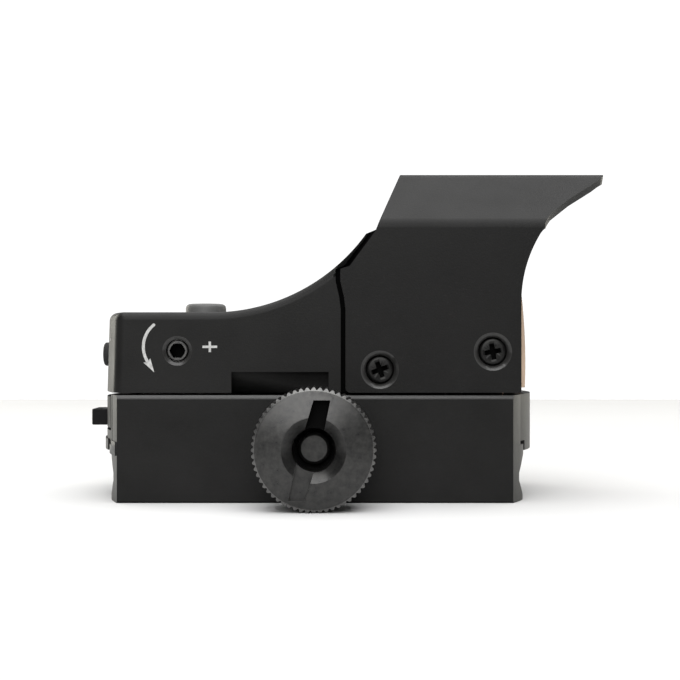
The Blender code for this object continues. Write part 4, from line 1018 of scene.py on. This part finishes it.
def build_housing():
    casting = wear(make_casting(), PAINT, "mount", "black_paint", "housing")
    # The lip round the windage screw gets paler worn paint and a painted highlight.
    patch(casting, WEAR_AND_HIGHLIGHT, on_windage_lip)
    # Painted shade on the casting's faces that the hood covers.
    patch(casting, PAINTED_SHADE, under_hood)
    hood = wear(make_hood(), HOOD_PAINT, "mount", "black_paint", "hood")
    # The hood's shoulder edges and screw-hole lips get paler worn paint and a painted highlight.
    patch(hood, WEAR_AND_HIGHLIGHT, on_hood_edge)
    places = [(axis, x, z, turn) for axis in ("-Y", "Y") for x, z, turn in HOOD_SCREWS]
    for number, (axis, x, z, turn) in enumerate(places, 1):
        screw = make_hood_screw(f"cross_screw_{number}", x, z, turn, axis)
        wear(screw, SCREW_BLACK, "mount", "black_oxide_steel", f"hood_screw_{number}")
        # Painted shade in the cross recess.
        patch(screw, PAINTED_SHADE, lambda at, normal: off_centre(at, (x, z)) < 1.1 and 13.2 < abs(at.y) < 14.15)


def build_optics():
    front = wear(make_lens("lens_outer", 0.0, -1.25), GLASS, "mount", "coated_glass", "lens_front")
    rear = wear(make_lens("lens_inner", -1.35, -2.6), GLASS, "mount", "coated_glass", "lens_rear")
    for lens in (front, rear):
        patch(lens, GROUND_GLASS, on_lens_rim)
    wear(make_gasket(), RUBBER, "mount", "black_rubber", "lens_seal")


def build_controls():
    side = make_adjuster("windage_socket_screw", "-Y", WINDAGE, 13.6, 11.9, 5.3)
    wear(side, OXIDE, "windage_adjuster", "black_oxide_steel", "windage_screw")
    # Painted shade in the hex socket.
    patch(side, PAINTED_SHADE, in_windage_socket)
    top = make_adjuster("elevation_socket_screw", "Z", (ELEVATION_X, 0), 17.5, 16.05, 9.3)
    wear(top, OXIDE, "elevation_adjuster", "black_oxide_steel", "elevation_screw")
    # Painted shade in the hex socket.
    patch(top, PAINTED_SHADE, in_elevation_socket)
    wear(make_power_button(), GREY_RUBBER, "power", "grey_rubber", "power_button")
    wear(make_mode_button(), RUBBER, "mode", "black_rubber", "mode_button")


def build_marks():
    for mark in (make_arrow(), make_arrow_head(), make_plus(), make_index_dot()):
        mark.data.materials.append(INK)
        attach(mark, "mount")


# ---------------------------------------------------------------- floor, light and camera

WHITE = (1.0, 1.0, 1.0)
SIGHT = (0.0, 0.0, 0.015)  # what the lights aim at
# Name, place, aim, width, height, radiance and tint, in metres
SOFTBOXES = (
    ("softbox_left", (-0.39, 0.35, 0.12), SIGHT, 0.3, 0.3, 4.3, (1.0, 0.98, 0.88)),
    ("softbox_right", (0.38, 0.36, 0.12), SIGHT, 0.3, 0.3, 2.9, (1.0, 0.965, 0.84)),
    ("softbox_above", (0.0, -0.2, 0.5), (0.0, -0.2, 0.0), 0.6, 0.9, 3.75, WHITE),
    ("softbox_front", (-0.07, -0.5, 0.2), SIGHT, 0.42, 0.22, 4.7, WHITE),
    ("softbox_back", (0.0, 0.45, 0.36), SIGHT, 0.5, 0.3, 1.2, WHITE),
)


def softbox(name, place_at, aim_at, width, height, radiance, tint):
    """An area light whose power follows from its size and radiance."""
    data = bpy.data.lights.new(name, "AREA")
    data.shape = "RECTANGLE"
    data.size = width
    data.size_y = height
    data.energy = radiance * math.pi * width * height
    data.color = tint
    obj = bpy.data.objects.new(name, data)
    bpy.context.scene.collection.objects.link(obj)
    obj.location = place_at
    obj.rotation_euler = (Vector(aim_at) - Vector(place_at)).to_track_quat("-Z", "Y").to_euler()


def build_stage():
    """The floor, just under the mount, and the lights."""
    shape = bmesh.new()
    corners = [(-0.4, -0.1), (0.4, -0.1), (0.4, 0.3), (-0.4, 0.3)]
    shape.faces.new([shape.verts.new((x, y, MOUNT_BOTTOM * MM - 2e-5)) for x, y in corners])
    floor = to_object("floor", shape)
    floor.data.materials.append(pale_floor())
    for values in SOFTBOXES:
        softbox(*values)


def light_world():
    """A white surround behind the object and beyond its glass, which itself lights it only a little."""
    world = bpy.data.worlds.new("white_surround")
    bpy.context.scene.world = world
    world.use_nodes = True
    tree = world.node_tree
    tree.nodes.clear()
    rays = tree.nodes.new("ShaderNodeLightPath")
    seen = tree.nodes.new("ShaderNodeMath")
    seen.operation = "MAXIMUM"
    tree.links.new(rays.outputs["Is Camera Ray"], seen.inputs[0])
    tree.links.new(rays.outputs["Is Transmission Ray"], seen.inputs[1])
    dim = tree.nodes.new("ShaderNodeBackground")
    dim.inputs["Color"].default_value = (1.0, 0.99, 0.97, 1)
    dim.inputs["Strength"].default_value = 0.15
    white = tree.nodes.new("ShaderNodeBackground")
    white.inputs["Color"].default_value = (1, 1, 1, 1)
    white.inputs["Strength"].default_value = 1.1
    join = tree.nodes.new("ShaderNodeMixShader")
    out = tree.nodes.new("ShaderNodeOutputWorld")
    tree.links.new(seen.outputs[0], join.inputs[0])
    tree.links.new(dim.outputs[0], join.inputs[1])
    tree.links.new(white.outputs[0], join.inputs[2])
    tree.links.new(join.outputs[0], out.inputs["Surface"])


def set_camera():
    """The camera stands square to the sight's side, where the photo was taken from."""
    data = bpy.data.cameras.new("photo_camera")
    data.sensor_width = 36.0
    data.lens = 76.2
    data.clip_start = 0.01
    camera = bpy.data.objects.new("photo_camera", data)
    bpy.context.scene.collection.objects.link(camera)
    camera.location = Vector((3.1, -194.0, 14.2)) * MM
    camera.rotation_euler = (RIGHT_TURN, 0, 0)
    bpy.context.scene.camera = camera
    bpy.context.scene.view_settings.view_transform = "Standard"


dress_cad_nodes()
build_mount()
build_housing()
build_optics()
build_controls()
build_marks()
build_stage()
light_world()
set_camera()
